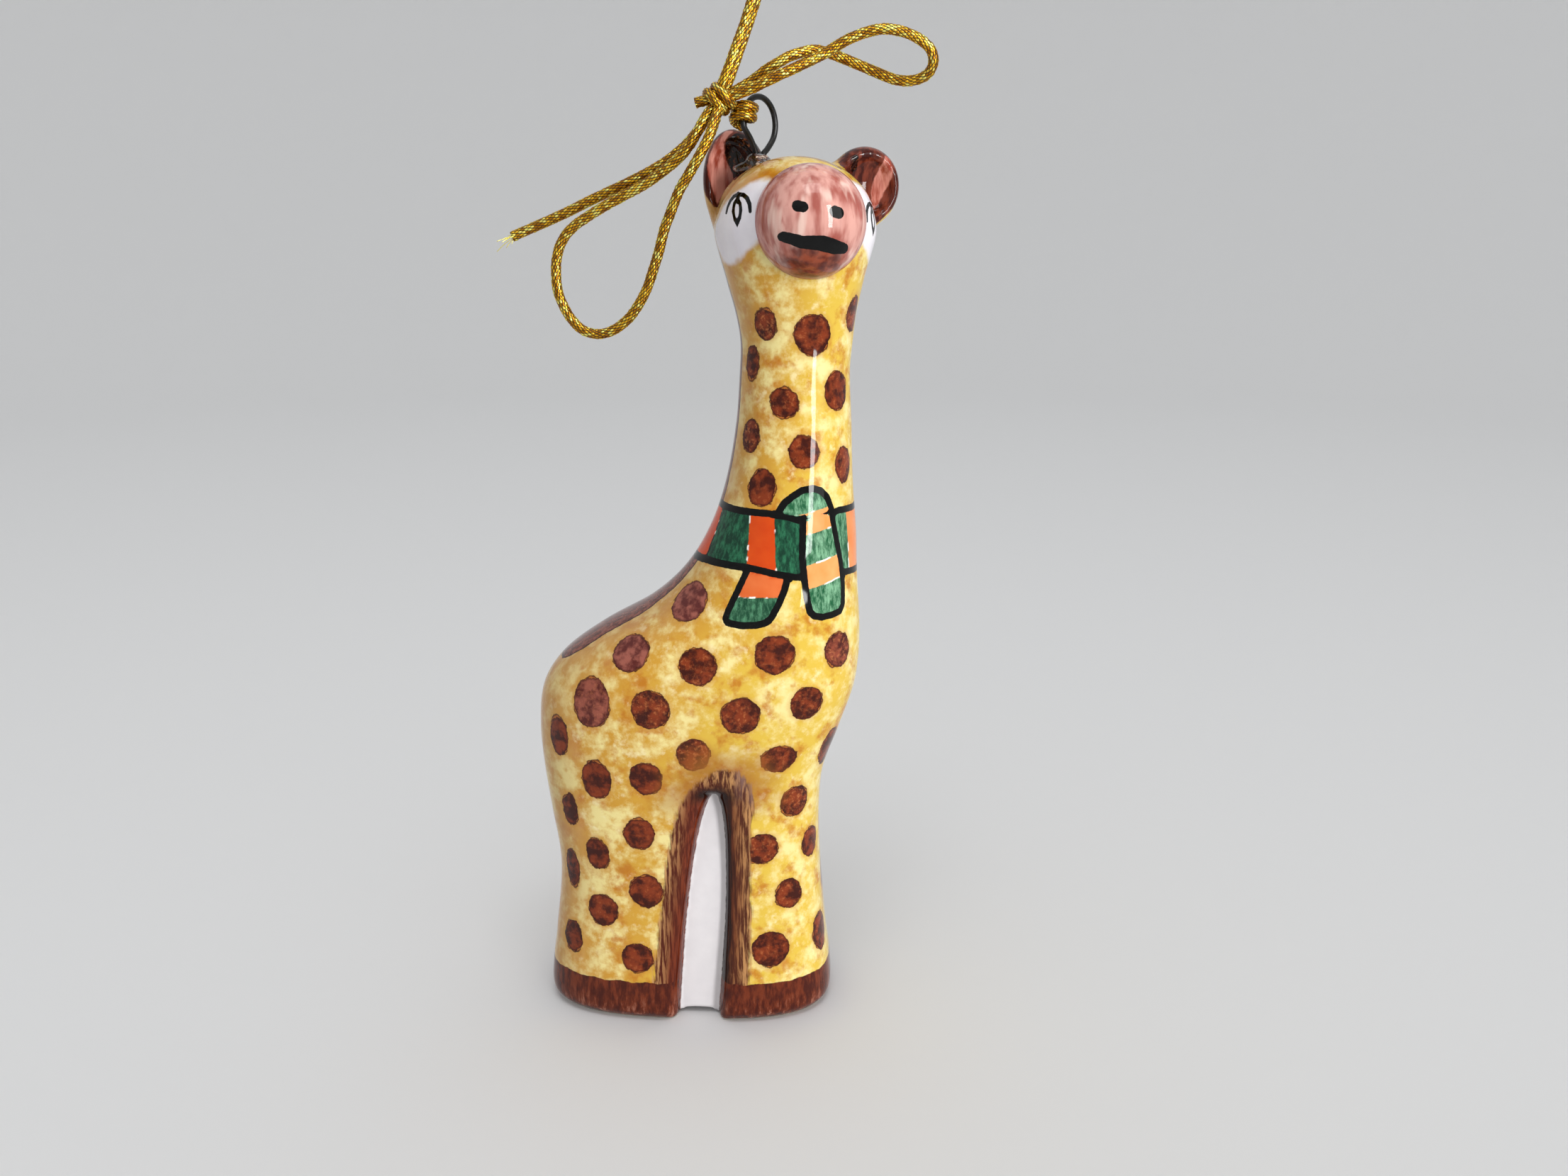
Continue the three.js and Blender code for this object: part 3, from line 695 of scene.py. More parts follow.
def stroke(q, points, radii):
    """Signed distance into a brush stroke: positive within it."""
    points = np.array(points, float)
    best = np.full(len(q), -FAR)
    for k in range(len(points) - 1):
        distance, t = segment_distance(q, points[k], points[k + 1])
        best = np.maximum(best, radii[k] + (radii[k + 1] - radii[k]) * t - distance)
    return best


def strokes(q, several):
    """Signed distance into the nearest of several strokes."""
    return np.max([stroke(q, *one) for one in several], axis=0)


def within(q, outline):
    """Signed distance into a closed outline: positive within it."""
    corners = np.array(outline, float)
    nearest = np.full(len(q), FAR)
    inside = np.zeros(len(q), bool)
    for start, end in zip(corners, np.roll(corners, -1, axis=0)):
        nearest = np.minimum(nearest, segment_distance(q, start, end)[0])
        rise = end[1] - start[1] or TINY
        crosses = (start[1] > q[:, 1]) != (end[1] > q[:, 1])
        inside ^= crosses & (q[:, 0] < start[0] + (q[:, 1] - start[1]) * (end[0] - start[0]) / rise)
    return np.where(inside, nearest, -nearest)


def in_ellipse(q, centre, radii):
    """About the signed distance into an ellipse: positive within it."""
    return (1 - np.linalg.norm((q - np.array(centre)) / np.array(radii), axis=1)) * min(radii)


def all_spots():
    """The spots of both sides and both ends, brought on to the surface."""
    near = np.array(SPOTS)
    far = near.copy()
    far[:, 1] = 2 * MIDLINE_Y - far[:, 1]     # the other side of the middle
    far[:, [0, 2]] += rng.uniform(-FAR_SIDE_SHIFT, FAR_SIDE_SHIFT, (len(far), 2))
    spots = np.concatenate([near, far, END_SPOTS])
    spots[:, :3] = settle(spots[:, :3], ceramic_field)
    return spots


def spot_paint(p):
    """Signed distance into the nearest spot, and its tone."""
    best = np.full(len(p), NO_SPOT)
    tone = np.zeros(len(p))
    spots = all_spots()
    normals = unit(field_slope(spots[:, :3], ceramic_field))
    for (x, y, z, wide, high, hue), normal in zip(spots, normals):
        away = p - (x, y, z)
        near = np.flatnonzero((away ** 2).sum(axis=1) < (max(wide, high) + SPOT_REACH) ** 2)
        across = unit(np.cross(normal, UP))
        up = np.cross(across, normal)
        local = away[near]
        reach = np.hypot(local @ across / wide, local @ up / high)
        value = (1 - reach) * min(wide, high) - np.abs(local @ normal) * SPOT_FADE
        closer = value > best[near]
        best[near[closer]] = value[closer]
        tone[near[closer]] = hue
    return best, tone


def scarf_paint(p):
    """Distance into the scarf, into its black lines, the stripes (orange is positive) and paleness, which is
    partly painted light.
    """
    x, y = p[:, 0] - NECK_X, MIDLINE_Y - p[:, 1]
    angle = np.degrees(np.arctan2(x, y))
    q = np.stack([np.radians(angle) * np.hypot(x, y), p[:, 2]], axis=1)
    top = np.interp(angle, *np.array(SCARF_TOP).T)
    bottom = np.interp(angle, *np.array(SCARF_BOTTOM).T)
    band = np.minimum(top - q[:, 1], q[:, 1] - bottom)
    knot = within(q, KNOT_LINE)
    tail = within(q, TAIL_ROOT[:1] + TAIL_LINE + TAIL_ROOT[1:])
    strip = np.minimum(knot, top - KNOT_TUCK - q[:, 1])
    edge = LINE_HALF - np.minimum(np.abs(top - LINE_HALF - q[:, 1]), np.abs(bottom + LINE_HALF - q[:, 1]))
    lines = np.minimum(edge, -strip)
    for route in (KNOT_LINE, TAIL_LINE):
        lines = np.maximum(lines, stroke(q, route, [LINE_HALF] * len(route)))
    leaned = angle + (q[:, 1] - SCARF_LEVEL) * STRIPE_LEAN
    divider = np.minimum((1 - np.abs(leaned - SCARF_STRIPES[3])) * DEGREE, band)
    lines = np.maximum(lines, divider)
    lines = np.where((q[:, 1] > SCARF_REACH[0]) & (q[:, 1] < SCARF_REACH[1]), lines, CLEAR)
    stripes = alternate(leaned, SCARF_STRIPES) * DEGREE
    slanted = q[:, 1] - KNOT_SLANT * (q[:, 0] - KNOT_MIDDLE)
    on_knot = (knot > 0) & ~((band > BAND_MARGIN) & (strip < 0))
    stripes = np.where(on_knot, alternate(slanted, KNOT_STRIPES), stripes)
    on_tail = (tail > 0) & (q[:, 1] < bottom)
    stripes = np.where(on_tail, q[:, 1] - TAIL_STRIPE, stripes)
    pale = np.where(on_tail, PALE_AND_PAINTED_LIGHT["tail"], np.where(leaned > PALE_AND_PAINTED_LIGHT["from"], PALE_AND_PAINTED_LIGHT["band"], 0.0))
    pale = np.where(knot > 0, PALE_AND_PAINTED_LIGHT["knot"], pale)
    return np.maximum(band, np.maximum(knot, tail)), lines, stripes, pale


def alternate(value, boundaries):
    """Distance to the nearest boundary: negative before the first, then positive, and so on."""
    bounds = np.array(boundaries, float)
    nearest = np.abs(value[:, None] - bounds).min(axis=1)
    return np.where(np.searchsorted(bounds, value) % 2 == 1, nearest, -nearest)


def azimuth(p):
    """Angle round the head from the way it faces, in degrees, positive toward the chest."""
    q = p[:, :2] - HEAD_AXIS
    return np.degrees(np.arctan2(q @ ASIDE[:2], q @ FORWARD[:2]))


def mirrored(p):
    """Points on the right of the face moved to the left, and up to the left eye's height."""
    side = (p[:, :2] - HEAD_AXIS) @ ASIDE[:2]
    q = p - 2 * side[:, None] * ASIDE
    return q + np.array([0, 0, RIGHT_EYE_DROP])


def one_eye(p):
    """Distance into the left eye's outline and lashes."""
    q = p[:, [0, 2]]
    ball = np.minimum(within(q, EYE_OUTLINE), -in_ellipse(q, EYE_WHITE["centre"], EYE_WHITE["radii"]))
    return np.maximum(ball, strokes(q, LASHES))


def eye_paint(p):
    """Distance into the black of both eyes."""
    turn = azimuth(p)
    level = (p[:, 2] > EYE_REACH["low"]) & (p[:, 2] < EYE_REACH["high"])
    aside = level & (np.abs(turn) > EYE_REACH["from"]) & (np.abs(turn) < EYE_REACH["to"])
    left, right = aside & (turn < 0), aside & (turn > 0)
    black = np.full(len(p), CLEAR)
    black[left] = one_eye(p[left])
    black[right] = one_eye(mirrored(p[right]))
    return black


def patch_paint(p):
    """Distance into the white round both eyes."""
    rise = p[:, 2] - EYE_PATCH["z"]
    turn = np.abs(azimuth(p)) - EYE_PATCH["azimuth"] + EYE_PATCH["lean"] * rise
    q = np.hypot(turn / EYE_PATCH["half"], rise / EYE_PATCH["height"])
    return np.where(p[:, 2] > EYE_PATCH["above"], (1 - q) * EYE_PATCH["scale"], CLEAR)


def ear_paint(p):
    """Distances into the ears' dark, brown and pink areas."""
    dark, brown, pink = (np.full(len(p), CLEAR) for _ in range(3))
    for name in EARS:
        local = ear_local(p, EARS[name], 0.0)
        front = np.flatnonzero((local[:, 1] < EAR_REACH[0]) & (np.abs(local).max(axis=1) < EAR_REACH[1]))
        q = local[front][:, [0, 2]]
        rim = np.minimum(EAR_RIM - local[front][:, 1], EAR_HEM - ear_field(p[front], EARS[name]))
        if name == "left":
            areas = [within(q, LEFT_EAR[part]) for part in ("dark", "wedge", "pink")]
        else:
            cap = np.maximum(within(q, RIGHT_EAR["brown"]), stroke(q, *RIGHT_EAR["stripe"]))
            areas = [stroke(q, *RIGHT_EAR["spot"]), cap, within(q, RIGHT_EAR["pink"])]
        for layer, area in zip((dark, brown, pink), areas):
            layer[front] = np.maximum(layer[front], np.minimum(area, rim))
    return dark, brown, pink


def mane_paint(p):
    """Distance into the stripe down the back of the neck and the slope of the back."""
    side = np.interp(p[:, 2], MANE_HEIGHTS, MANE_HALVES) - np.abs(p[:, 1] - MIDLINE_Y)
    end = np.minimum(p[:, 2] - MANE_HEIGHTS[0], MANE_HEIGHTS[-1] - p[:, 2])
    inside = MANE_CORNER - np.hypot(np.maximum(MANE_CORNER - side, 0), np.maximum(MANE_CORNER - end, 0))
    return np.where(p[:, 0] < section_at(p[:, 2])[0], inside, CLEAR)


SIDE_LIMIT = 1.2


def painted_light_side(p):
    """From -1 at the rump side to 1 at the chest side, at each height: how far the base is painted shaded or
    painted lit.
    """
    middle, reach = section_at(p[:, 2])[:2]
    return np.clip((p[:, 0] - middle) / reach, -SIDE_LIMIT, SIDE_LIMIT)


# ---------------------------------------------------------------- the ceramic

SKIN_STEP = 0.46                  # mm between the surface's points
FINE_REACH = 3.3                  # mm round each eye where the mesh is four times finer
EYE_CUTS = 3                      # new points on each edge there
BODY_LOW, BODY_HIGH = (-26, -14, -1.2), (27, 15, 123)


def to_eyes(points):
    """How far each point is from the nearer eye."""
    eyes = np.array(list(EYE_PLACES.values()))
    return np.linalg.norm(points[:, None] - eyes, axis=2).min(axis=1)


def refine_eyes(points, faces):
    """Cuts the faces round the eyes finer, for their thin strokes."""
    mesh = bmesh.new()
    corners = [mesh.verts.new(p) for p in points]
    for face in faces:
        mesh.faces.new([corners[k] for k in face])
    mesh.verts.index_update()
    close = set(np.flatnonzero(to_eyes(points) < FINE_REACH).tolist())
    edges = [e for e in mesh.edges if e.verts[0].index in close and e.verts[1].index in close]
    bmesh.ops.subdivide_edges(mesh, edges=edges, cuts=EYE_CUTS, use_grid_fill=True)
    mesh.verts.ensure_lookup_table()
    mesh.verts.index_update()
    points = np.array([v.co[:] for v in mesh.verts])
    faces = [[v.index for v in face.verts] for face in mesh.faces]
    mesh.free()
    near = np.flatnonzero(to_eyes(points) < FINE_REACH + 1)
    points[near] = settle(points[near], ceramic_field)
    return points, faces


def build_ceramic():
    points, faces = mesh_field(ceramic_field, BODY_LOW, BODY_HIGH, SKIN_STEP)
    points, faces = refine_eyes(points, faces)
    body = new_piece("ceramic", points, faces)
    spot, tone = spot_paint(points)
    scarf, lines, stripes, pale = scarf_paint(points)
    dark, brown, pink = ear_paint(points)
    undercoat = np.maximum(dark, np.maximum(brown, pink)) + EAR_OVERLAP
    layers = {
        "spot": spot, "tone": tone, "scarf": scarf, "stripes": stripes, "pale": pale,
        "black": lines, "eyes": eye_paint(points), "patch": patch_paint(points),
        "ear_dark": dark, "ear_brown": brown, "ear_pink": pink, "ear_under": undercoat,
        "mane": mane_paint(points),
        "side": painted_light_side(points), "arch": arch_paint(points), "foot": points[:, 2],
        "band": band_paint(points), "beside": beside_arch(points),
        "forehead": np.where(points[:, 2] > FOREHEAD, stroke(points[:, :2], *FOREHEAD_STROKE), CLEAR),
    }
    for name, values in layers.items():
        add_attribute(body, name, values)
    return finish_piece(body, "ceramic", "painted_glaze", "ceramic_body", material=painted_glaze())


def arch_paint(p):
    """Distance from the arch between the legs, on the two broad sides only."""
    return np.where(p[:, 2] < PAINTED_LEGS, arch_distance(p), ABOVE_ARCH)


def band_paint(p):
    """Distance into the brown brushed round the arch."""
    return np.where(p[:, 2] < PAINTED_LEGS, within(p[:, [0, 2]], BAND_LINE), -ABOVE_ARCH)


def sponged_base(paint):
    """Cream, yellow and ochre dabbed wet over each other, with painted light turning the chest side lemon and
    painted shade turning the rump side tan.
    """
    side = paint.attribute("side")
    cloud = paint.noise(6.5, detail=3, roughness=0.55)
    mottle = paint.noise(2.4, detail=5, roughness=0.6, shift=31)
    dabs = paint.noise(0.8, detail=4, roughness=0.6, shift=57)
    # Painted light: the base turns lemon toward the lit chest side.
    toward = paint.weighted(cloud, 1.4, side)
    golden_with_painted_light = paint.blend(toward, 0.1, 1.4, "#C69234", "#D4B244")
    cover = paint.weighted(mottle, 0.9, paint.weighted(dabs, 0.2, paint.product(cloud, 0.6)))
    base = paint.blend(cover, 0.68, 0.94, "#E6D590", golden_with_painted_light)
    ochre = paint.weighted(cloud, 0.4, paint.noise(2.8, detail=5, roughness=0.6, shift=83))
    base = paint.blend(ochre, 0.7, 0.92, base, "#B56C16", 0.85)
    cream = paint.weighted(dabs, 0.35, paint.noise(2.0, detail=4, roughness=0.6, shift=140))
    base = paint.blend(cream, 0.74, 0.94, base, "#EEE2B0", 0.65)
    # Painted shade: tan streaks laid over the rump side, away from the light.
    lean = paint.weighted(cloud, 0.8, paint.math("MULTIPLY", side, -1.0))
    streaks = paint.noise(1.4, detail=3, place=paint.stretched(1, 1, 0.25), shift=12)
    painted_shade_tan = paint.mix(streaks, "#A8723A", "#D8B27C")
    return paint.blend(lean, 0.8, 1.5, base, painted_shade_tan, 0.7)


def ragged(paint, name, shift):
    """A painted edge that scallops and frays."""
    broad = paint.roughened(paint.attribute(name), 1.5, 0.5, shift=shift)
    return paint.roughened(broad, 0.42, 0.17, shift=shift + 72)


def spot_layer(paint, base):
    """Dabbed spots, each on a thin offset dab of ochre, with dark outlines and paler flecks."""
    under = paint.math("SUBTRACT", ragged(paint, "spot", 41), 0.02)
    base = paint.blend(under, -0.9, 0.0, base, "#C08A3A", 0.5)
    base = paint.blend(under, -0.03, 0.05, base, "#A05C24")
    rim = paint.fade(paint.math("ABSOLUTE", under), 0.03, 0.13)
    base = paint.mix(paint.product(rim, 0.85), base, "#42180A")
    distance = ragged(paint, "spot", 5)
    tone = paint.attribute("tone")
    cloud = paint.noise(1.6, detail=4, roughness=0.6, shift=23)
    flecks = paint.step(paint.noise(0.5, detail=4, roughness=0.65, shift=9), 0.50, 0.66)
    dark = paint.blend(cloud, 0.38, 0.62, "#3A1006", "#7E3214")
    lively = paint.step(paint.weighted(tone, 0.7, cloud), 0.50, 1.0)
    speckled = paint.mix(paint.product(flecks, lively, 0.8), dark, "#B4683A")
    mauve = paint.blend(cloud, 0.38, 0.62, "#5A2420", "#9A584A")
    inner = paint.blend(tone, 0.55, 0.95, speckled, mauve)
    shade = paint.fade(distance, 0.06, 0.34)
    inner = paint.mix(paint.product(shade, 0.7), inner, "#341007")
    return paint.blend(distance, -0.03, 0.05, base, inner)


def leg_layers(paint, base):
    """The brown brushed round the arch, with painted shade on its right wall and in its top, its white web,
    the hooves, and the bare foot.
    """
    arch = paint.attribute("arch")
    beside = paint.attribute("beside")
    foot = paint.attribute("foot")
    brushed = paint.noise(0.34, detail=4, roughness=0.6, place=paint.stretched(1, 1, 0.07), shift=3)
    broad = paint.noise(1.3, detail=3, place=paint.stretched(1, 1, 0.15), shift=19)
    smoke = paint.roughened(paint.attribute("band"), 2.6, 1.6, shift=15)
    high = paint.step(foot, 30.0, 36.0)
    base = paint.mix(paint.product(paint.step(smoke, -6.0, 0.2), high, 0.8), base, "#9A5C20")
    edge = paint.roughened(paint.weighted(brushed, 1.5, paint.attribute("band")), 1.6, 0.5, shift=15)
    outward = paint.weighted(broad, 2.0, arch)
    pale = paint.blend(outward, 2.0, 5.0, "#6E2E18", "#C0925E")
    left = paint.blend(brushed, 0.42, 0.6, "#4E1A0B", pale)
    # Painted shade: the right wall turns near black close to the arch, where it faces away from the light.
    near = paint.fade(paint.weighted(brushed, 1.2, arch), 1.0, 2.3)
    right = paint.blend(outward, 1.8, 4.4, "#6A3218", "#B08050")
    right = paint.blend(brushed, 0.42, 0.62, "#4A2010", right)
    right = paint.mix(near, right, "#1E0A05")
    smudge = paint.product(paint.step(foot, 32.5, 35.5), paint.step(beside, 2.6, 4.2))
    right = paint.mix(paint.product(smudge, paint.step(broad, 0.3, 0.6)), right, "#7A5A52")
    brown = paint.blend(beside, -0.9, 0.9, left, right)
    # Painted shade in the top of the arch's recess.
    top = paint.product(paint.step(foot, 33.0, 35.2), paint.fade(arch, 0.8, 2.6))
    brown = paint.mix(top, brown, "#1E0A05")
    base = paint.blend(edge, 0.35, 0.95, base, brown)
    line = paint.roughened(foot, 2.0, 0.42, shift=2)
    dabs = paint.noise(0.75, detail=4, roughness=0.65, place=paint.stretched(1, 1, 0.28), shift=36)
    hoof = paint.blend(dabs, 0.36, 0.64, "#421409", "#6E2E16")
    lower = paint.fade(foot, 1.0, 4.6)
    hoof = paint.mix(paint.product(lower, paint.step(dabs, 0.54, 0.70), 0.8), hoof, "#A06A56")
    base = paint.mix(paint.fade(line, 6.05, 6.2), base, hoof)
    web = paint.fade(paint.roughened(arch, 1.0, 0.14, shift=8), -0.2, 0.02)
    white = paint.mix(paint.noise(2.5, detail=3), "#D2CED0", "#E4E0E1")
    base = paint.mix(web, base, white)
    bare = paint.fade(foot, 0.12, 0.3)
    return paint.mix(bare, base, "#D8CDBE")


def scarf_layer(paint, base):
    """Green and orange stripes, with slips of bare glaze where they meet."""
    distance = paint.attribute("scarf")
    stripes = paint.roughened(paint.attribute("stripes"), 0.9, 0.12, shift=6)
    # pale is partly lighter paint and partly painted light on the lit side of the neck.
    pale = paint.attribute("pale")
    brushed = paint.noise(0.6, detail=4, roughness=0.7, place=paint.stretched(1, 1, 0.35), shift=28)
    deep = paint.blend(brushed, 0.4, 0.72, "#0F3526", "#2E7350")
    light = paint.blend(brushed, 0.36, 0.7, "#1E5B38", "#86B892")
    green = paint.mix(pale, deep, light)
    glow = paint.noise(2.2, detail=2, shift=50)
    orange = paint.mix(pale, paint.mix(glow, "#C03606", "#D65214"), paint.mix(glow, "#EE8A3C", "#F5B878"))
    colour = paint.blend(stripes, -0.06, 0.06, green, orange)
    seam = paint.fade(paint.math("ABSOLUTE", stripes), 0.06, 0.16)
    gaps = paint.product(seam, paint.step(paint.noise(1.7, detail=2, shift=61), 0.52, 0.60))
    colour = paint.mix(gaps, colour, "#EFEAE2")
    return paint.blend(distance, 0.0, 0.06, base, colour)


def face_layers(paint, base):
    """The white round the eyes, the stroke on the forehead and the ears' colours."""
    patch = paint.roughened(paint.attribute("patch"), 2.4, 0.75, shift=4)
    white = paint.mix(paint.noise(2.5, detail=3, shift=71), "#D9D3DC", "#F1EEF0")
    base = paint.blend(patch, -0.35, 0.55, base, white)
    forehead = paint.roughened(paint.attribute("forehead"), 1.0, 0.15, shift=14)
    base = paint.blend(forehead, -0.05, 0.12, base, "#7C5652", 0.7)
    upright = paint.stretched(1, 1, 0.14)
    streaks = paint.noise(0.9, detail=3, roughness=0.55, place=upright, shift=17)
    pink = paint.blend(streaks, 0.36, 0.66, "#96402F", "#DC9484")
    brown = paint.blend(streaks, 0.4, 0.7, "#3C110A", "#7E3A28")
    dark = paint.blend(paint.noise(0.5, detail=4, shift=33), 0.52, 0.72, "#150605", "#6B3B20")
    for name, colour in (("ear_under", brown), ("ear_pink", pink), ("ear_brown", brown), ("ear_dark", dark)):
        distance = paint.roughened(paint.attribute(name), 0.9, 0.2, shift=37)
        base = paint.blend(distance, -0.08, 0.14, base, colour)
    return base


def mane_layer(paint, base):
    """The stippled brown stripe down the back."""
    distance = paint.roughened(paint.attribute("mane"), 1.1, 0.2, shift=24)
    stippled = paint.noise(0.9, detail=4, roughness=0.65, shift=46)
    inner = paint.blend(stippled, 0.38, 0.62, "#56261E", "#8A4E40")
    inner = paint.mix(paint.product(paint.fade(distance, 0.1, 0.5), 0.85), inner, "#2E0F0D")
    return paint.blend(distance, -0.05, 0.06, base, inner)


def black_layer(paint, base, name="black", fray=0.09):
    """Thick black brushwork; fray is how far its edges wander, in mm."""
    distance = paint.roughened(paint.attribute(name), 0.6, fray, shift=44)
    ink = paint.blend(paint.noise(0.6, detail=4, shift=64), 0.55, 0.85, "#030303", "#171917")
    return paint.blend(distance, -0.03, 0.03, base, ink)


def glaze_gloss(paint):
    """Thick clear glaze: a hard mirror-like coat with a slow, hand-made waviness."""
    paint.value("Roughness", 0.35)
    paint.value("Specular IOR Level", 0.0)
    paint.value("Coat Weight", 1.0)
    paint.value("Coat Roughness", 0.035)
    paint.value("Coat IOR", 1.33)
    paint.bump(paint.noise(6.0, detail=2), 0.35, 0.10)
    paint.bump(paint.noise(0.9, detail=2, shift=11), 0.25, 0.012)


def painted_glaze():
    paint = Paint("painted_glaze")
    colour = sponged_base(paint)
    colour = spot_layer(paint, colour)
    colour = mane_layer(paint, colour)
    colour = leg_layers(paint, colour)
    colour = scarf_layer(paint, colour)
    colour = face_layers(paint, colour)
    colour = black_layer(paint, colour)
    colour = black_layer(paint, colour, "eyes", 0.03)
    paint.colour(colour)
    glaze_gloss(paint)
    return paint.material


# ---------------------------------------------------------------- the muzzle

MUZZLE_RINGS = 84
MUZZLE_TURNS = 200


def build_muzzle():
    """A ball cut flat where it is luted into the head, and turned to face forward."""
    ball = ball_points(MUZZLE_RINGS, MUZZLE_TURNS, math.acos(-MUZZLE_SEAT / MUZZLE_RADIUS))
    points = MUZZLE_CENTRE + MUZZLE_RADIUS * ball @ np.stack([ASIDE, UP, FORWARD])
    faces = first_fan(MUZZLE_TURNS) + ring_quads(1, MUZZLE_RINGS, MUZZLE_TURNS)
    rim = 1 + (MUZZLE_RINGS - 1) * MUZZLE_TURNS
    faces.append(tuple(range(rim + MUZZLE_TURNS - 1, rim - 1, -1)))
    muzzle = new_piece("muzzle_ball", points, faces)
    q = np.stack([(points - MUZZLE_CENTRE) @ ASIDE, points[:, 2] - MUZZLE_CENTRE[2]], axis=1)
    front = (points - MUZZLE_CENTRE) @ FORWARD > 0
    add_attribute(muzzle, "black", np.where(front, strokes(q, [MOUTH, *NOSTRILS]), CLEAR))
    add_attribute(muzzle, "chin", in_ellipse(q, CHIN["centre"], CHIN["radii"]))
    return finish_piece(muzzle, "ceramic", "pink_glaze", "muzzle", material=pink_glaze())


def pink_glaze():
    """Pink brushed downward in soft streaks, rosy here and there, and red-brown under the mouth."""
    paint = Paint("pink_glaze")
    upright = paint.stretched(1, 1, 0.22)
    cloud = paint.noise(4.0, detail=2, shift=2)
    wash = paint.noise(1.3, detail=3, place=upright, shift=7)
    wash = paint.weighted(wash, 0.7, paint.product(cloud, 0.5))
    colour = paint.blend(wash, 0.44, 0.74, "#9C544A", "#D29C90")
    pale = paint.noise(1.8, detail=2, place=upright, shift=51)
    colour = paint.blend(pale, 0.54, 0.72, colour, "#E8CABC", 0.7)
    rosy = paint.noise(1.3, detail=3, place=paint.stretched(1, 1, 0.4), shift=88)
    colour = paint.blend(rosy, 0.56, 0.74, colour, "#9C3E34", 0.6)
    chin = paint.roughened(paint.attribute("chin"), 1.8, 0.7, shift=21)
    shade = paint.blend(paint.noise(1.3, detail=4, shift=66), 0.36, 0.66, "#481206", "#904226")
    colour = paint.blend(chin, -1.0, 0.9, colour, shade, 0.92)
    paint.colour(black_layer(paint, colour))
    glaze_gloss(paint)
    return paint.material


# ---------------------------------------------------------------- the wire ring and its blob of glaze

WIRE = 0.75
WIRE_TURNS = 20
WIRE_STEP = 0.22
RING_TURN = math.radians(54.6)
RING_CENTRE = np.array([6.7, 1.1, 121.7])
RING_RADIUS = 3.15
RING_START, RING_END, RING_STEP = 188, -32, 20       # degrees, and those between given points
NEAR_LEG = [(-0.62, 110.6), (-0.5, 114.0), (-0.5, 116.8), (-0.8, 118.2), (-1.75, 119.7)]
FAR_LEG = [(1.5, 118.75), (0.75, 118.1), (0.5, 116.8), (0.5, 114.0), (0.62, 110.6)]
BLOB = {"centre": (6.6, 0.9, 116.6), "radii": (2.5, 2.3, 1.25), "lump": 0.34, "lump_scale": 2.0,
        "turns": 72, "rings": 40}
WAVE_FADE = 0.4           # how much more each wave is weakened than the one before it
WAVE_SUM = 2.4
# Waves that make it lumpy: how they run in x, y and z, and their phase.
WAVES = [(2.1, 0.4, 1.0, 0.3), (-0.7, 2.4, 0.6, 1.9), (1.3, -1.6, 2.0, 4.1), (3.4, 2.6, -1.2, 2.2)]


def on_ring(across, height):
    """A point in the ring's plane, so far across from its centre."""
    x, y = RING_CENTRE[:2] + across * np.array([math.cos(RING_TURN), math.sin(RING_TURN)])
    return x, y, height


def ring_point(degrees):
    a = math.radians(degrees)
    return on_ring(RING_RADIUS * math.cos(a), RING_CENTRE[2] + RING_RADIUS * math.sin(a))


CURVE_POINTS = 24         # points worked out between two given ones


def between(t, start, end, a, b):
    """From a at the time start to b at the time end."""
    return (end - t) / (end - start) * a + (t - start) / (end - start) * b


def path_length(route):
    """The distance run at each point of a route."""
    return np.concatenate([[0], np.cumsum(np.linalg.norm(np.diff(route, axis=0), axis=1))])


def smooth_route(points, step):
    """Points a step apart on a centripetal curve through the given ones."""
    points = np.array(points, float)
    ends = np.concatenate([2 * points[:1] - points[1:2], points, 2 * points[-1:] - points[-2:-1]])
    fine = []
    for p0, p1, p2, p3 in zip(ends, ends[1:], ends[2:], ends[3:]):
        legs = [max(np.linalg.norm(b - a), TINY) ** 0.5 for a, b in ((p0, p1), (p1, p2), (p2, p3))]
        t0, t1, t2, t3 = np.cumsum([0] + legs)
        t = np.linspace(t1, t2, CURVE_POINTS, endpoint=False)[:, None]
        middle = between(t, t1, t2, p1, p2)
        before = between(t, t0, t2, between(t, t0, t1, p0, p1), middle)
        after = between(t, t1, t3, middle, between(t, t2, t3, p2, p3))
        fine.append(between(t, t1, t2, before, after))
    fine = np.concatenate(fine + [points[-1:]])
    length = path_length(fine)
    even = np.linspace(0, length[-1], max(3, int(round(length[-1] / step)) + 1))
    return np.stack([np.interp(even, length, fine[:, k]) for k in range(3)], axis=1)


def route_frames(route):
    """Two directions across the route at each point, without twist."""
    ahead = unit(np.gradient(route, axis=0))
    side = np.cross(ahead[0], (0.3, 0.9, 0.2))
    sides = []
    for direction in ahead:
        side = unit(side - direction * (side @ direction))
        sides.append(side)
    sides = np.array(sides)
    return sides, np.cross(ahead, sides)


def tube_mesh(route, radii):
    """A closed tube; radii is one row of radii round the tube for each point of the route."""
    sides, ups = route_frames(route)
    rows, turns = radii.shape
    k = np.arange(turns)
    a = k * 2 * math.pi / turns
    ring = sides[:, None] * np.cos(a)[:, None] + ups[:, None] * np.sin(a)[:, None]
    points = (route[:, None] + ring * radii[..., None]).reshape(-1, 3)
    after = (k + 1) % turns
    start = np.arange(rows - 1)[:, None] * turns
    faces = np.stack([start + k, start + after, start + turns + after, start + turns + k], axis=-1)
    ends = [list(range(turns - 1, -1, -1)), list(range((rows - 1) * turns, rows * turns))]
    return points, faces.reshape(-1, 4).tolist() + ends


